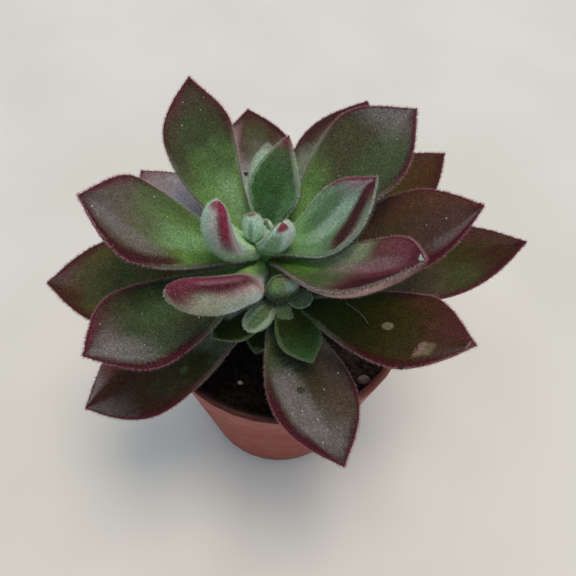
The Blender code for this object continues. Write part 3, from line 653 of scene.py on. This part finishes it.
def leaf_surface(leaf, seat, size, seed, root=0.0):
    """Grid of points round the blade, with the values that its material reads.

    size is the number of rings and of points on each. root is how far the base reaches back to
    the stem.
    """
    draw = np.random.default_rng(seed)
    ratio = np.linspace(0, 1, size[0])
    shares = 0.45 * ratio + 0.55 * np.sin(ratio * np.pi / 2)
    shares[-1] = LAST_RING
    shares[1] = SECOND_RING
    along, points, right, upper = midrib(leaf, seat)
    centre = at_places(shares, along, points)
    centre[0] += root * unit(points[0] - points[1])
    side = at_places(shares, along, right)
    top = at_places(shares, along, upper)
    angles = np.linspace(0, 2 * np.pi, size[1], endpoint=False)
    across = np.cos(angles)
    height = np.sign(np.sin(angles)) * np.abs(np.sin(angles)) ** 0.75
    phase = draw.uniform(0, 6.28, 8)
    wave = np.sin(9 * shares + phase[0]) + 0.6 * np.sin(17 * shares + phase[1])
    wide = half_width(leaf, shares) * (1 + EDGE_WAVE * wave)
    turn = leaf.cup * across[None, :]
    reach = (wide / leaf.cup)[:, None, None]
    bow = np.sin(turn)[..., None] * side[:, None] + (1 - np.cos(turn))[..., None] * top[:, None]
    middle = centre[:, None] + reach * bow
    normal = np.cos(turn)[..., None] * top[:, None] - np.sin(turn)[..., None] * side[:, None]
    share_up = np.where(height >= 0, UPPER_SHARE, 1 - UPPER_SHARE)
    thick = blade_thickness(leaf, shares)[:, None] * share_up[None] * height[None]
    u, w = shares[:, None] * leaf.length, across[None] * wide[:, None]
    ripple = np.sin(0.55 * u + 0.35 * w + phase[2]) + np.sin(0.3 * u - 0.7 * w + phase[3])
    ripple = ripple + 0.5 * np.sin(1.1 * u + 0.9 * w + phase[4])
    shrink = min(leaf.length / FULL_LENGTH, 1.0)
    thick = thick + RIPPLE * shrink * ripple * np.abs(height)[None]
    groove = np.exp(-((w / (GROOVE_WIDTH * leaf.width)) ** 2)) * smooth(shares, 1.0, 0.2)[:, None]
    thick = thick - GROOVE_DEPTH * shrink * groove * (height > 0.3)[None]
    from_tip = (1 - shares)[:, None] * leaf.length * 0.5
    edge = np.minimum((1 - np.abs(across))[None] * wide[:, None], from_tip)
    values = {"along": shares[:, None], "across": across[None], "edge": edge, "face": height[None]}
    values = {key: np.broadcast_to(value, edge.shape) for key, value in values.items()}
    return middle + normal * thick[..., None], values


def stem_leaf_surface(number):
    """Surface of a leaf of the main stem."""
    leaf = LEAVES[number][1]
    return leaf_surface(leaf, stem_seat(leaf), BLADE_GRID, BLADE_SEED + number, BLADE_ROOT)


def grid_mesh(name, grids):
    """One mesh of closed bodies, each wound round a grid of points and closed at its ends.

    Body i takes the mesh's material i.
    """
    verts = []
    faces = []
    layers = {}
    slots = []
    for slot, (grid, values) in enumerate(grids):
        rows, columns = grid.shape[:2]
        start = sum(len(v) for v in verts)
        ends = np.stack([grid[0].mean(0), grid[-1].mean(0)])
        verts.append(np.concatenate([grid.reshape(-1, 3), ends]))
        for key, value in values.items():
            flat = np.concatenate([value.reshape(-1), [value[0].mean(), value[-1].mean()]])
            layers.setdefault(key, []).append(flat)
        ring = np.arange(columns)
        following = (ring + 1) % columns
        near = start + np.arange(rows - 1)[:, None] * columns
        quads = np.stack(
            [near + ring, near + columns + ring, near + columns + following, near + following], -1
        )
        faces += quads.reshape(-1, 4).tolist()
        first = start + rows * columns
        last = start + (rows - 1) * columns
        faces += [[first, start + i, start + j] for i, j in zip(ring, following)]
        faces += [[first + 1, last + j, last + i] for i, j in zip(ring, following)]
        slots += [slot] * (len(faces) - len(slots))
    mesh = bpy.data.meshes.new(name)
    points = np.concatenate(verts) * MM
    mesh.from_pydata(points.tolist(), [], faces)
    mesh.polygons.foreach_set("material_index", slots)
    for key, parts in layers.items():
        layer = mesh.attributes.new(key, "FLOAT", "POINT")
        layer.data.foreach_set("value", np.concatenate(parts).astype(np.float32))
    mesh.shade_smooth()
    return mesh


def add_object(name, mesh, *materials):
    """Body i of the mesh gets material i, or the last one."""
    slots = np.empty(len(mesh.polygons), dtype=np.int32)
    mesh.polygons.foreach_get("material_index", slots)
    for material in materials:
        mesh.materials.append(material)
    mesh.polygons.foreach_set("material_index", np.minimum(slots, len(materials) - 1))
    piece = bpy.data.objects.new(name, mesh)
    bpy.context.scene.collection.objects.link(piece)
    return piece


def place(piece, slot, *replaced):
    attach(piece, "root")
    if replaced:
        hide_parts(*replaced)


class Net:
    """Builds a material's nodes."""

    def __init__(self, name):
        self.material = bpy.data.materials.new(name)
        self.material.use_nodes = True
        self.tree = self.material.node_tree
        self.shader = self.tree.nodes["Principled BSDF"]

    def add(self, kind, settings=(), **inputs):
        node = self.tree.nodes.new(kind)
        for key, value in dict(settings).items():
            setattr(node, key, value)
        for key, value in inputs.items():
            self.feed(node.inputs[key.replace("_", " ")], value)
        return node

    def feed(self, socket, value):
        if isinstance(value, bpy.types.NodeSocket):
            self.tree.links.new(value, socket)
        elif isinstance(value, tuple) and len(value) == 3 and len(socket.default_value) == 4:
            socket.default_value = (*value, 1.0)
        else:
            socket.default_value = value

    def value(self, name):
        return self.add("ShaderNodeAttribute", {"attribute_name": name}).outputs["Fac"]

    def place(self):
        return self.add("ShaderNodeTexCoord").outputs["Object"]

    def axes(self):
        """The coordinates x, y and z, in metres."""
        return self.add("ShaderNodeSeparateXYZ", Vector=self.place()).outputs

    def noise(self, size, detail=2.0, roughness=0.5):
        """Noise from 0 to 1 whose features are about size millimetres wide."""
        scale = 1 / (size * MM)
        inputs = {"Scale": scale, "Detail": detail, "Roughness": roughness, "Distortion": 0.0}
        return self.add("ShaderNodeTexNoise", Vector=self.place(), **inputs).outputs["Fac"]

    def math(self, operation, first, second=0.0):
        node = self.add("ShaderNodeMath", {"operation": operation})
        self.feed(node.inputs[0], first)
        self.feed(node.inputs[1], second)
        return node.outputs[0]

    def plus(self, first, second):
        return self.math("ADD", first, second)

    def minus(self, first, second):
        return self.math("SUBTRACT", first, second)

    def times(self, first, second):
        return self.math("MULTIPLY", first, second)

    def span(self, value, low, high, to_low=0.0, to_high=1.0):
        """Smooth step of a value between two levels."""
        node = self.add("ShaderNodeMapRange", {"interpolation_type": "SMOOTHSTEP"})
        for socket, item in zip(node.inputs, (value, low, high, to_low, to_high)):
            self.feed(socket, item)
        return node.outputs[0]

    def mix(self, factor, first, second):
        node = self.add("ShaderNodeMix", {"data_type": "RGBA"})
        self.feed(node.inputs[0], factor)
        self.feed(node.inputs[6], first)
        self.feed(node.inputs[7], second)
        return node.outputs[2]

    def window(self, value, steps):
        """1 between the middle two of four steps, fading to 0 at the outer two."""
        mask = None
        if steps[0] > ALL[1]:
            mask = self.span(value, steps[0], steps[1])
        if steps[3] < ALL[2]:
            fade = self.span(value, steps[3], steps[2])
            mask = self.times(mask, fade) if mask else fade
        return mask

    def bump(self, height, strength, distance):
        node = self.add("ShaderNodeBump", Height=height)
        node.inputs["Strength"].default_value = strength
        node.inputs["Distance"].default_value = distance * MM
        self.tree.links.new(node.outputs[0], self.shader.inputs["Normal"])

    def finish(self, constants=(), **inputs):
        """Feeds inputs of the shader, and sets constants on sockets that are never linked."""
        for key, value in dict(constants).items():
            self.shader.inputs[key].default_value = value
        for key, value in inputs.items():
            self.feed(self.shader.inputs[key.replace("_", " ")], value)
        return self.material


def patch_area(net, patch, along, spread, lean):
    """Where a patch lies, from 0 to 1."""
    if patch.slant:
        lean = net.plus(lean, net.times(net.minus(along, 0.5), patch.slant))
    areas = [net.window(spread, patch.along), net.window(lean, patch.across)]
    areas = [area for area in areas if area]
    return net.times(*areas) if len(areas) == 2 else areas[0]


def spot_area(net, spot, leaf, along, across, ragged):
    """Where a round mark lies, from 0 to its strength, with an uneven edge."""
    x = net.times(net.minus(along, spot.along), leaf.length)
    y = net.times(net.minus(across, spot.across), leaf.width / 2)
    away = net.math("SQRT", net.plus(net.times(x, x), net.times(y, y)))
    away = net.plus(away, net.times(ragged, 0.8))
    return net.span(away, spot.radius * 1.2, spot.radius * 0.8, 0.0, spot.strength)


def rim_area(net, look, along, across):
    """Where the margin has the rim's colour, from 0 to 1."""
    outer = net.span(along, look.rim_from, look.rim_from + 0.3)
    if look.rim_side:
        outer = net.times(outer, net.span(net.times(across, look.rim_side), -0.2, 0.2))
    return outer


def leaf_skin(name, leaf, look):
    """Velvety leaf: green at the base, browner outwards, with a crimson margin."""
    net = Net(name)
    along, edge, across, face = (net.value(k) for k in ("along", "edge", "across", "face"))
    blotch = net.noise(5.0, 3.0)
    grain = net.noise(0.32, 2.0, 0.6)
    ragged = net.minus(grain, 0.5)
    wander = net.plus(net.times(ragged, 0.5), net.minus(net.noise(1.5, 2.0), 0.5))
    reach = net.plus(along, net.times(net.minus(blotch, 0.5), 0.35))
    depth = net.plus(edge, wander)
    outer = rim_area(net, look, along, across)
    colour = net.mix(net.span(reach, *look.young), look.base, look.middle)
    colour = net.mix(net.span(reach, *look.turn), colour, look.tip)
    blush = net.times(net.span(depth, look.blush[0], 0.1), outer)
    colour = net.mix(net.times(blush, look.blush[1]), colour, WINE)
    belly = net.mix(net.span(reach, 0.7, 1.1), look.belly, look.tip)
    sides = {1: colour, -1: belly}
    spread = net.plus(along, net.times(ragged, 0.06))
    lean = net.plus(across, net.times(ragged, 0.14))
    for patch in look.patches:
        mask = net.times(patch_area(net, patch, along, spread, lean), patch.strength)
        sides[patch.face] = net.mix(mask, sides[patch.face], patch.colour)
    for spot in look.spots:
        mask = spot_area(net, spot, leaf, along, across, ragged)
        sides[1] = net.mix(mask, sides[1], spot.colour)
    colour = net.mix(net.span(face, 0.05, -0.3), sides[1], sides[-1])
    colour = mottled(net, colour, look, grain)
    thin = net.times(net.span(depth, 0.62, 0.10), net.span(along, 0.10, 0.3))
    thin = net.times(thin, net.span(face, -0.50, -0.15))
    line = net.mix(outer, look.plain_rim, look.rim)
    colour = flecked(net, net.mix(net.times(thin, 0.9), colour, line), look)
    net.bump(grain, 0.5, 0.12)
    return net.finish({"Specular IOR Level": 0.05, "Sheen Weight": 0.01, "Sheen Roughness": 0.4,
                       "Sheen Tint": (0.95, 0.90, 0.92, 1.0)},
                      Base_Color=colour, Roughness=net.span(blotch, 0.2, 0.8, 0.5, 0.62))


def mottled(net, colour, look, grain):
    """Lighter and darker grain, calmer on pale leaves."""
    calm = 0.18 * min(2.2 * max(look.middle), 1.0)
    cloud = net.span(net.noise(1.8, 3.0, 0.6), 0.3, 0.7, 0.88, 1.10)
    scale = net.times(cloud, net.span(grain, 0.3, 0.72, 0.66 + calm, 1.38 - calm))
    return net.add("ShaderNodeVectorMath", {"operation": "SCALE"}, Vector=colour, Scale=scale).outputs[0]


def flecked(net, colour, look):
    """Fine light flecks, as of hairs too small to model."""
    light = net.add("ShaderNodeVectorMath", {"operation": "MULTIPLY_ADD"}, Vector=colour)
    light.inputs[1].default_value = (1.6, 1.6, 1.6)
    light.inputs[2].default_value = tuple(0.06 * p for p in look.pile)
    fleck = net.span(net.noise(0.24, 1.5, 0.6), 0.55, 0.64)
    return net.mix(net.times(fleck, 0.7), colour, light.outputs[0])


def hair_material(name):
    net = Net(name)
    tint = net.add("ShaderNodeAttribute", {"attribute_name": "tint"}).outputs["Color"]
    return net.finish({"Specular IOR Level": 0.08}, Base_Color=tint, Roughness=0.6)


def steps_mask(value, steps):
    return smooth(value, steps[0], steps[1]) * smooth(-value, -steps[3], -steps[2])


def patch_mask(patch, found):
    """Where a patch lies at points of a blade, from 0 to 1."""
    lean = found["across"] + patch.slant * (found["along"] - 0.5)
    mask = steps_mask(found["along"], patch.along) * steps_mask(lean, patch.across)
    return mask * (found["face"] * patch.face > 0)


def pile_density(look, found):
    """Relative number of pale hairs at points of a blade."""
    inside = smooth(found["edge"], 0.5, 2.5) * steps_mask(found["along"], (0.0, 0.25, 0.6, 0.95))
    density = np.where(found["face"] < 0, 0.6, 1.0) * (1 - look.bare * inside)
    for patch in look.patches:
        density = density + patch.pile * patch_mask(patch, found)
    return np.maximum(density, 0.05)


def flat_colour(look, found):
    """Colours of a blade at some points, without the noise of its material."""

    def mix(mask, first, second):
        return first + (np.array(second) - first) * mask[:, None]

    colour = mix(smooth(found["along"], *look.young), np.array(look.base), look.middle)
    colour = mix(smooth(found["along"], *look.turn), colour, look.tip)
    colour = np.where(found["face"][:, None] < 0, np.array(look.belly), colour)
    for patch in look.patches:
        colour = mix(patch_mask(patch, found) * patch.strength, colour, patch.colour)
    return colour


def blade_roots(grid, values, look, draw):
    """Roots, directions and values of the hairs on a blade's two sides."""
    keys = sorted(values)
    stack = np.concatenate([grid] + [values[k][..., None] for k in keys], -1)
    ahead = np.roll(stack, -1, axis=1)
    quads = np.stack([stack[:-1], stack[1:], ahead[1:], ahead[:-1]], 2)
    quads = quads.reshape(-1, 4, stack.shape[-1])
    p = quads[..., :3]
    cross = np.cross(p[:, 2] - p[:, 0], p[:, 3] - p[:, 1])
    area = np.linalg.norm(cross, axis=1) / 2
    normals = unit(cross)
    mean = {k: quads[:, :, 3 + i].mean(1) for i, k in enumerate(keys)}
    chance = area * pile_density(look, mean)
    count = int(HAIR_SHARE * look.hair * chance.sum())
    pick = draw.choice(len(quads), count, p=chance / chance.sum())
    a, b = draw.random((2, count, 1))
    q = quads[pick]
    data = (q[:, 0] * (1 - a) + q[:, 1] * a) * (1 - b) + (q[:, 3] * (1 - a) + q[:, 2] * a) * b
    found = {k: data[:, 3 + i] for i, k in enumerate(keys)}
    forward = unit(q[:, 1, :3] - q[:, 0, :3])
    axis = normals[pick] + draw.normal(0, 0.45, (count, 3)) + 0.4 * forward
    return data[:, :3] - 0.05 * normals[pick], axis, found


def margin_roots(grid, values, density, draw):
    """Roots, directions and values of the fringe along a blade's two margins."""
    columns = grid.shape[1]
    middle = grid.mean(1)
    roots, axes, reach, sides = [], [], [], []
    for column in (0, columns // 2):
        line = grid[:, column]
        run = np.concatenate([[0], np.cumsum(np.linalg.norm(np.diff(line, axis=0), axis=1))])
        count = int(run[-1] * density)
        at = draw.uniform(0.05 * run[-1], run[-1], count)
        upper = grid[:, (column + 2) % columns] - grid[:, (column - 2) % columns]
        point, centre, above = (at_places(at, run, points) for points in (line, middle, upper))
        above = unit(above)
        forward = unit(at_places(at + 0.3, run, line) - point)
        out = point - centre
        out = unit(out - forward * (out * forward).sum(1, keepdims=True))
        lift = draw.normal(0, 0.45, (count, 1))
        roots.append(point - 0.08 * out + above * np.clip(lift, -1, 1) * 0.12)
        axes.append(out + lift * above + 0.45 * forward + draw.normal(0, 0.2, (count, 3)))
        reach.append(np.interp(at, run, values["along"][:, column]))
        sides.append(np.full(count, 1 if column == 0 else -1))
    return (np.concatenate(a) for a in (roots, axes, reach, sides))


def hair_cones(foot, axis, length, thick):
    """Four points of each tapered hair: three round its root, and its tip."""
    axis = unit(axis)
    helper = np.where(np.abs(axis[:, 2:3]) < 0.9, np.array([[0, 0, 1.0]]), np.array([[1.0, 0, 0]]))
    first = unit(np.cross(axis, helper))
    second = np.cross(axis, first)
    turns = [2 * np.pi * k / 3 for k in range(3)]
    ring = [foot + thick[:, None] * (np.cos(a) * first + np.sin(a) * second) for a in turns]
    return np.stack(ring + [foot + axis * length[:, None]], 1)


def leaf_hairs(grid, values, look, seed):
    """Hairs of one leaf and their colours: pale on the blade, coloured on its margins."""
    draw = np.random.default_rng(seed)
    roots, axis, found = blade_roots(grid, values, look, draw)
    count = len(roots)
    thick = HAIR_RADIUS * draw.uniform(0.7, 1.3, count)
    cones = [hair_cones(roots, axis, HAIR_LENGTH * draw.uniform(0.5, 1.2, count), thick)]
    below = flat_colour(look, found)
    pale = below + HAIR_PALENESS * np.array(look.pile) * draw.uniform(0.3, 1.4, (count, 1)) ** 1.5
    tints = [np.stack([below] * 3 + [pale], 1)]
    roots, axis, along, side = margin_roots(grid, values, FRINGE_DENSITY, draw)
    count = len(roots)
    thick = FRINGE_RADIUS * draw.uniform(0.7, 1.2, count)
    cones.append(hair_cones(roots, axis, look.fuzz * draw.uniform(0.4, 1.1, count), thick))
    redness = smooth(along + draw.normal(0, 0.06, count), look.rim_from, look.rim_from + 0.3)
    redness = redness * (side * look.rim_side >= 0)
    young = np.array(look.down) * draw.uniform(0.6, 1.1, (count, 1))
    red = np.array(look.fringe) * draw.uniform(0.6, 1.2, (count, 1))
    shade = young + (red - young) * redness[:, None]
    end = young + (FRINGE_TIP * draw.uniform(0.5, 1.0, (count, 1)) - young) * redness[:, None]
    light = 0.35 * shade + 0.65 * end
    tints.append(np.stack([shade] * 3 + [light], 1))
    return np.concatenate(cones), np.concatenate(tints)


def build_hairs(name, leaves, seed, material):
    made = [leaf_hairs(*leaf, seed + i) for i, leaf in enumerate(leaves)]
    cones, tints = (np.concatenate(parts) for parts in zip(*made))
    corners = (4 * np.arange(len(cones))[:, None, None] + CONE_FACES).reshape(-1)
    mesh = bpy.data.meshes.new(name)
    mesh.vertices.add(4 * len(cones))
    mesh.vertices.foreach_set("co", (cones * MM).astype(np.float32).ravel())
    mesh.loops.add(len(corners))
    mesh.loops.foreach_set("vertex_index", corners.astype(np.int32))
    mesh.polygons.add(len(corners) // 3)
    mesh.polygons.foreach_set("loop_start", np.arange(0, len(corners), 3, dtype=np.int32))
    mesh.update(calc_edges=True)
    mesh.shade_smooth()
    layer = mesh.attributes.new("tint", "FLOAT_COLOR", "POINT")
    opaque = np.insert(tints.reshape(-1, 3), 3, 1.0, axis=1)
    layer.data.foreach_set("color", opaque.astype(np.float32).ravel())
    return add_object(name, mesh, material)


def build_leaf(number, hair):
    name, leaf, look = LEAVES[number]
    surface = stem_leaf_surface(number)
    skin = leaf_skin(f"{name}_skin", leaf, look)
    place(add_object(f"{name}_blade", grid_mesh(name, [surface]), skin), name, name)
    place(build_hairs(f"{name}_hairs", [(*surface, look)], HAIR_SEED + number, hair), name)


def tube_grid(points, radii, sides=24):
    """Tube through points, each ring level, with the values of the middle of a blade."""
    turns = np.linspace(0, 2 * np.pi, sides, endpoint=False)
    grid = np.repeat(points[:, None], sides, 1)
    grid[..., 0] += radii[:, None] * np.cos(turns)
    grid[..., 1] += radii[:, None] * np.sin(turns)
    plain = {"along": 0.3, "across": 0.0, "edge": 4.0, "face": 1.0}
    return grid[:, ::-1], {key: np.full(grid.shape[:2], value) for key, value in plain.items()}


def heart_grid(cluster):
    """Dome between the youngest leaves, on a neck."""
    latitudes = np.radians(np.concatenate([[0], np.linspace(0, 85, 10)]))
    wide = cluster.radius * np.cos(latitudes)
    wide[0] = cluster.radius * 0.9
    tall = cluster.radius * np.sin(latitudes)
    tall[0] = -cluster.neck
    return tube_grid(np.array(cluster.heart) + tall[:, None] * np.array([0, 0, 1]), wide, 28)


def side_stem_grid():
    """Stem of the side shoot: a sagging tube from the main stem to the heart of the shoot."""
    off = stem_radius(SHOOT_ROOT_HEIGHT) + STEM_GAP + SHOOT_STEM_RADIUS
    start = stem_axis(SHOOT_ROOT_HEIGHT) + off * outward(SHOOT_ROOT_AZIMUTH)
    end = np.array(SHOOT.heart) + np.array([0, 0, 0.3])
    t = np.linspace(0, 1, SHOOT_STEM_RINGS)[:, None]
    points = start * (1 - t) + end * t + np.array([0, 0, -SHOOT_STEM_SAG]) * t * (1 - t) * 2
    points[0, 2] -= 0.3
    points[:, 2] += np.linspace(0, 0.01, SHOOT_STEM_RINGS)
    return tube_grid(points, np.full(SHOOT_STEM_RINGS, SHOOT_STEM_RADIUS))


def build_cluster(name, cluster, extra, hair):
    """Leaves round a dome, with extra bodies in the look of the last leaf."""
    bodies = [heart_grid(cluster)] + extra
    first, last = cluster.leaves[0][0], cluster.leaves[-1][1]
    skins = [leaf_skin(f"{name}_plain", first, last._replace(patches=()))] * len(bodies)
    hairy = []
    for i, (leaf, look) in enumerate(cluster.leaves):
        surface = leaf_surface(leaf, heart_seat(leaf, cluster), SMALL_BLADE_GRID, cluster.seed + i)
        bodies.append(surface)
        skins.append(leaf_skin(f"{name}_skin_{i}", leaf, look))
        hairy.append((*surface, look))
    place(add_object(f"{name}_blades", grid_mesh(name, bodies), *skins), name, name)
    place(build_hairs(f"{name}_hairs", hairy, cluster.seed, hair), name)


def build_stem():
    """Bark below, green and smooth between the upper leaves."""
    net = Net("stem_bark")
    rings = net.span(net.noise(1.2, 3.0), 0.3, 0.7)
    height = net.axes()[2]
    young = net.mix(rings, *GREEN_STEM_SHADES)
    old = net.mix(rings, *BARK_SHADES)
    colour = net.mix(net.span(height, GREEN_STEM_FROM * MM, GREEN_STEM_FULL * MM), old, young)
    net.bump(net.noise(0.5, 3.0, 0.6), 0.6, 0.2)
    set_material("stem", net.finish(Base_Color=colour, Roughness=0.75))


def pot_plastic():
    """Matt terracotta-coloured plastic, with painted shade on its lip and inner wall, strongest at the left
    front, and painted light that makes the wall paler towards the top.
    """
    net = Net("pot_plastic")
    colour = net.mix(net.span(net.noise(14.0, 3.0), 0.3, 0.7), *POT_SHADES)
    dust = net.span(net.noise(2.2, 4.0, 0.65), 0.5, 0.85)
    colour = net.mix(net.times(dust, 0.05), colour, POT_DUST)
    x, y, z = (net.math("DIVIDE", axis, MM) for axis in net.axes())
    radius = net.math("SQRT", net.plus(net.times(x, x), net.times(y, y)))
    inward = net.minus(net.plus(net.times(z, POT_SLOPE), POT_FOOT_RADIUS), radius)
    # Painted shade: the lip and the inner wall are darkened, most at the left front, where the leaves shade
    # them.
    left_front = net.plus(net.times(x, -0.8), net.times(y, -0.6))
    shaded_side = net.span(left_front, 0.0, 13.0, 0.2, 0.96)
    # Painted light: the wall is made paler towards the top.
    colour = net.mix(net.span(z, 28.0, 46.0, 0.0, 0.55), colour, POT_LIT_TOP)
    bead = net.math("MAXIMUM", net.span(z, 45.9, 46.6), net.span(inward, 0.3, 0.6))
    colour = net.mix(net.times(bead, shaded_side), colour, POT_LIP_SHADE)
    inside = net.times(net.span(inward, 0.5, 0.95), shaded_side)
    colour = net.mix(inside, colour, POT_INSIDE_SHADE)
    rough = net.span(net.noise(3.0, 3.0), 0.3, 0.7, 0.45, 0.6)
    return net.finish({"Specular IOR Level": 0.2}, Base_Color=colour, Roughness=rough)


def soil_material():
    """Dark peat, its crumbs made paler at the right as painted light falling from that side."""
    net = Net("soil_peat")
    crumb = net.noise(0.9, 4.0, 0.65)
    colour = net.mix(net.span(crumb, 0.35, 0.75), *PEAT_SHADES)
    # Painted light: crumbs at the right are made paler, as if lit from that side.
    lit_right = net.times(net.span(net.axes()[0], 6 * MM, 16 * MM), net.span(crumb, 0.3, 0.7, 0.1, 1.0))
    colour = net.mix(net.times(lit_right, 0.8), colour, LIT_PEAT)
    net.bump(crumb, 1.0, 0.6)
    return net.finish({"Specular IOR Level": 0.1}, Base_Color=colour, Roughness=0.95)


def grit_material(name, shades):
    """Stone, dust or fibre, from a dark to a light colour."""
    net = Net(name)
    colour = net.mix(net.span(net.noise(0.6, 4.0, 0.6), 0.3, 0.7), *shades)
    net.bump(net.noise(0.3, 3.0), 0.5, 0.1)
    return net.finish(Base_Color=colour, Roughness=0.85)


def set_material(name, material):
    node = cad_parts[name]
    node.data.materials.clear()
    node.data.materials.append(material)


def lump_grid(centre, radii, draw, uneven=0.14):
    """Rough grain round a point."""
    latitudes = np.radians(np.linspace(-80, 80, 7))[:, None]
    turns = np.linspace(0, 2 * np.pi, 10, endpoint=False)
    lump = 1 + draw.normal(0, uneven, (7, 10))
    ways = (np.cos(latitudes) * np.cos(turns), np.cos(latitudes) * np.sin(turns), np.sin(latitudes))
    grid = np.stack([c + r * lump * way for c, r, way in zip(centre, radii, ways)], -1)
    return grid[:, ::-1], {"along": np.zeros((7, 10))}


def build_crumbs(material):
    """Loose crumbs of peat over the soil."""
    draw = np.random.default_rng(CRUMB_SEED)
    grids = []
    for _ in range(CRUMB_COUNT):
        r = SOIL_RADIUS * 0.96 * math.sqrt(draw.uniform(0.04, 1))
        a = draw.uniform(0, 2 * math.pi)
        size = CRUMB_SMALLEST + (CRUMB_LARGEST - CRUMB_SMALLEST) * draw.random() ** 3
        radii = size * draw.uniform(0.7, 1.2, 3)
        level = SOIL_LEVEL - CRUMB_DEPTH + 0.3 * radii[2]
        grids.append(lump_grid((r * math.cos(a), r * math.sin(a), level), radii, draw))
    place(add_object("soil_crumbs", grid_mesh("soil_crumbs", grids), material), "soil")


def top_point(surface, along, across):
    """Point on the upper side of a blade."""
    grid, values = surface
    off = (values["along"] - along) ** 2 + (values["across"] - across) ** 2
    off = off + 9.0 * (values["face"] < 0)
    return grid[np.unravel_index(off.argmin(), off.shape)]


def fibre_line(surface):
    """Points of a bent fibre that lies on a blade."""
    share = np.linspace(0, 1, 14)
    line = FIBRE_ENDS[0] * (1 - share[:, None]) + FIBRE_ENDS[1] * share[:, None]
    curve = np.polyfit(share, np.stack([top_point(surface, *spot) for spot in line]), 3)
    points = np.stack([np.polyval(curve[:, i], share) for i in range(3)], -1)
    points[:, 2] += FIBRE_LIFT
    points[:, 0] += FIBRE_BEND * np.sin(np.pi * share)
    return points


def mote_grids(numbers, draw):
    """Specks of dust on the upper sides of some leaves."""
    grids = []
    for name, count in MOTES.items():
        surface = stem_leaf_surface(numbers[name])
        for _ in range(count):
            spot = top_point(surface, draw.uniform(0.25, 0.95), draw.uniform(-0.8, 0.8))
            radii = draw.uniform(*MOTE_RADII) * draw.uniform(0.7, 1.2, 3)
            grids.append(lump_grid(spot + np.array([0, 0, MOTE_LIFT]), radii, draw))
    return grids


def build_marks():
    """Dust on the leaves, and a fibre and a crumb of peat on one of them."""
    numbers = {name: number for number, (name, _, _) in enumerate(LEAVES)}
    draw = np.random.default_rng(MARK_SEED)
    motes = mote_grids(numbers, draw)
    marked = stem_leaf_surface(numbers[MARKED_LEAF])
    line = fibre_line(marked)
    fibre = tube_grid(line, np.full(len(line), FIBRE_RADIUS), 8)
    edge = top_point(marked, *PEAT_SPOT)
    peat = [lump_grid(edge + np.array(step), PEAT_RADII, draw, 0.25) for step in PEAT_STEPS]
    marks = (("dust_motes", motes, grit_material("dust", DUST_SHADES)),
             ("fibre", [fibre], grit_material("fibre_thread", FIBRE_SHADES)),
             ("peat_crumb", peat, soil_material()))
    for name, grids, material in marks:
        place(add_object(name, grid_mesh(name, grids), material), MARKED_LEAF)


def build_camera():
    """Camera that looks towards +Y and down by its pitch, turned round its own axis by its roll."""
    data = bpy.data.cameras.new("camera")
    data.lens = CAMERA_LENS
    data.sensor_width = CAMERA_SENSOR
    data.sensor_height = CAMERA_SENSOR
    data.clip_start = 0.005
    camera = bpy.data.objects.new("camera", data)
    tilt = Matrix.Rotation(math.radians(90 - CAMERA_PITCH), 4, "X")
    roll = Matrix.Rotation(math.radians(CAMERA_ROLL), 4, "Z")
    camera.matrix_world = Matrix.Translation(Vector(CAMERA_PLACE) * MM) @ tilt @ roll
    bpy.context.scene.collection.objects.link(camera)
    bpy.context.scene.camera = camera


def build_light(name, centre, aim, size, power, colour):
    """Rectangular lamp, size in metres, turned towards the place aim."""
    data = bpy.data.lights.new(name, "AREA")
    data.shape = "RECTANGLE"
    data.size, data.size_y = size
    data.energy = power
    data.color = colour
    lamp = bpy.data.objects.new(name, data)
    lamp.location = Vector(centre) * MM
    lamp.rotation_euler = (Vector(aim) * MM - lamp.location).to_track_quat("-Z", "Y").to_euler()
    bpy.context.scene.collection.objects.link(lamp)


def build_view():
    """Plain display transform, so that the colours of the materials show as they are."""
    bpy.context.scene.view_settings.view_transform = "Standard"


def build_world():
    world = bpy.data.worlds.new("soft_room")
    world.use_nodes = True
    background = world.node_tree.nodes["Background"]
    background.inputs["Color"].default_value = ROOM_LIGHT
    background.inputs["Strength"].default_value = ROOM_STRENGTH
    bpy.context.scene.world = world


def build_floor():
    net = Net("floor_paint")
    cloud = net.span(net.noise(60.0, 2.0), 0.35, 0.65)
    colour = net.mix(cloud, *FLOOR_SHADES)
    material = net.finish(Base_Color=colour, Roughness=0.6)
    mesh = bpy.data.meshes.new("floor")
    r = FLOOR_REACH * MM
    mesh.from_pydata([(-r, -r, 0), (r, -r, 0), (r, r, 0), (-r, r, 0)], [], [(0, 1, 2, 3)])
    add_object("floor", mesh, material)


def main():
    build_camera()
    build_view()
    build_world()
    build_light("window", centre=(290, 80, 2290), aim=(0, 0, 40), size=(1.0, 0.9),
                power=22.8, colour=WARM_LIGHT)
    build_light("far_window", centre=(120, 2000, 840), aim=(0, 0, 60), size=(2.8, 1.0),
                power=5.5, colour=COOL_LIGHT)
    build_floor()
    hair = hair_material("leaf_hair")
    for number in range(len(LEAVES)):
        build_leaf(number, hair)
    build_cluster("crown", CROWN, [], hair)
    build_cluster("side_shoot", SHOOT, [side_stem_grid()], hair)
    build_marks()
    build_stem()
    set_material("pot", pot_plastic())
    peat = soil_material()
    set_material("soil", peat)
    build_crumbs(peat)
    set_material("pebble", grit_material("pebble_stone", PEBBLE_SHADES))
    set_material("perlite", grit_material("perlite_grain", PERLITE_SHADES))


main()
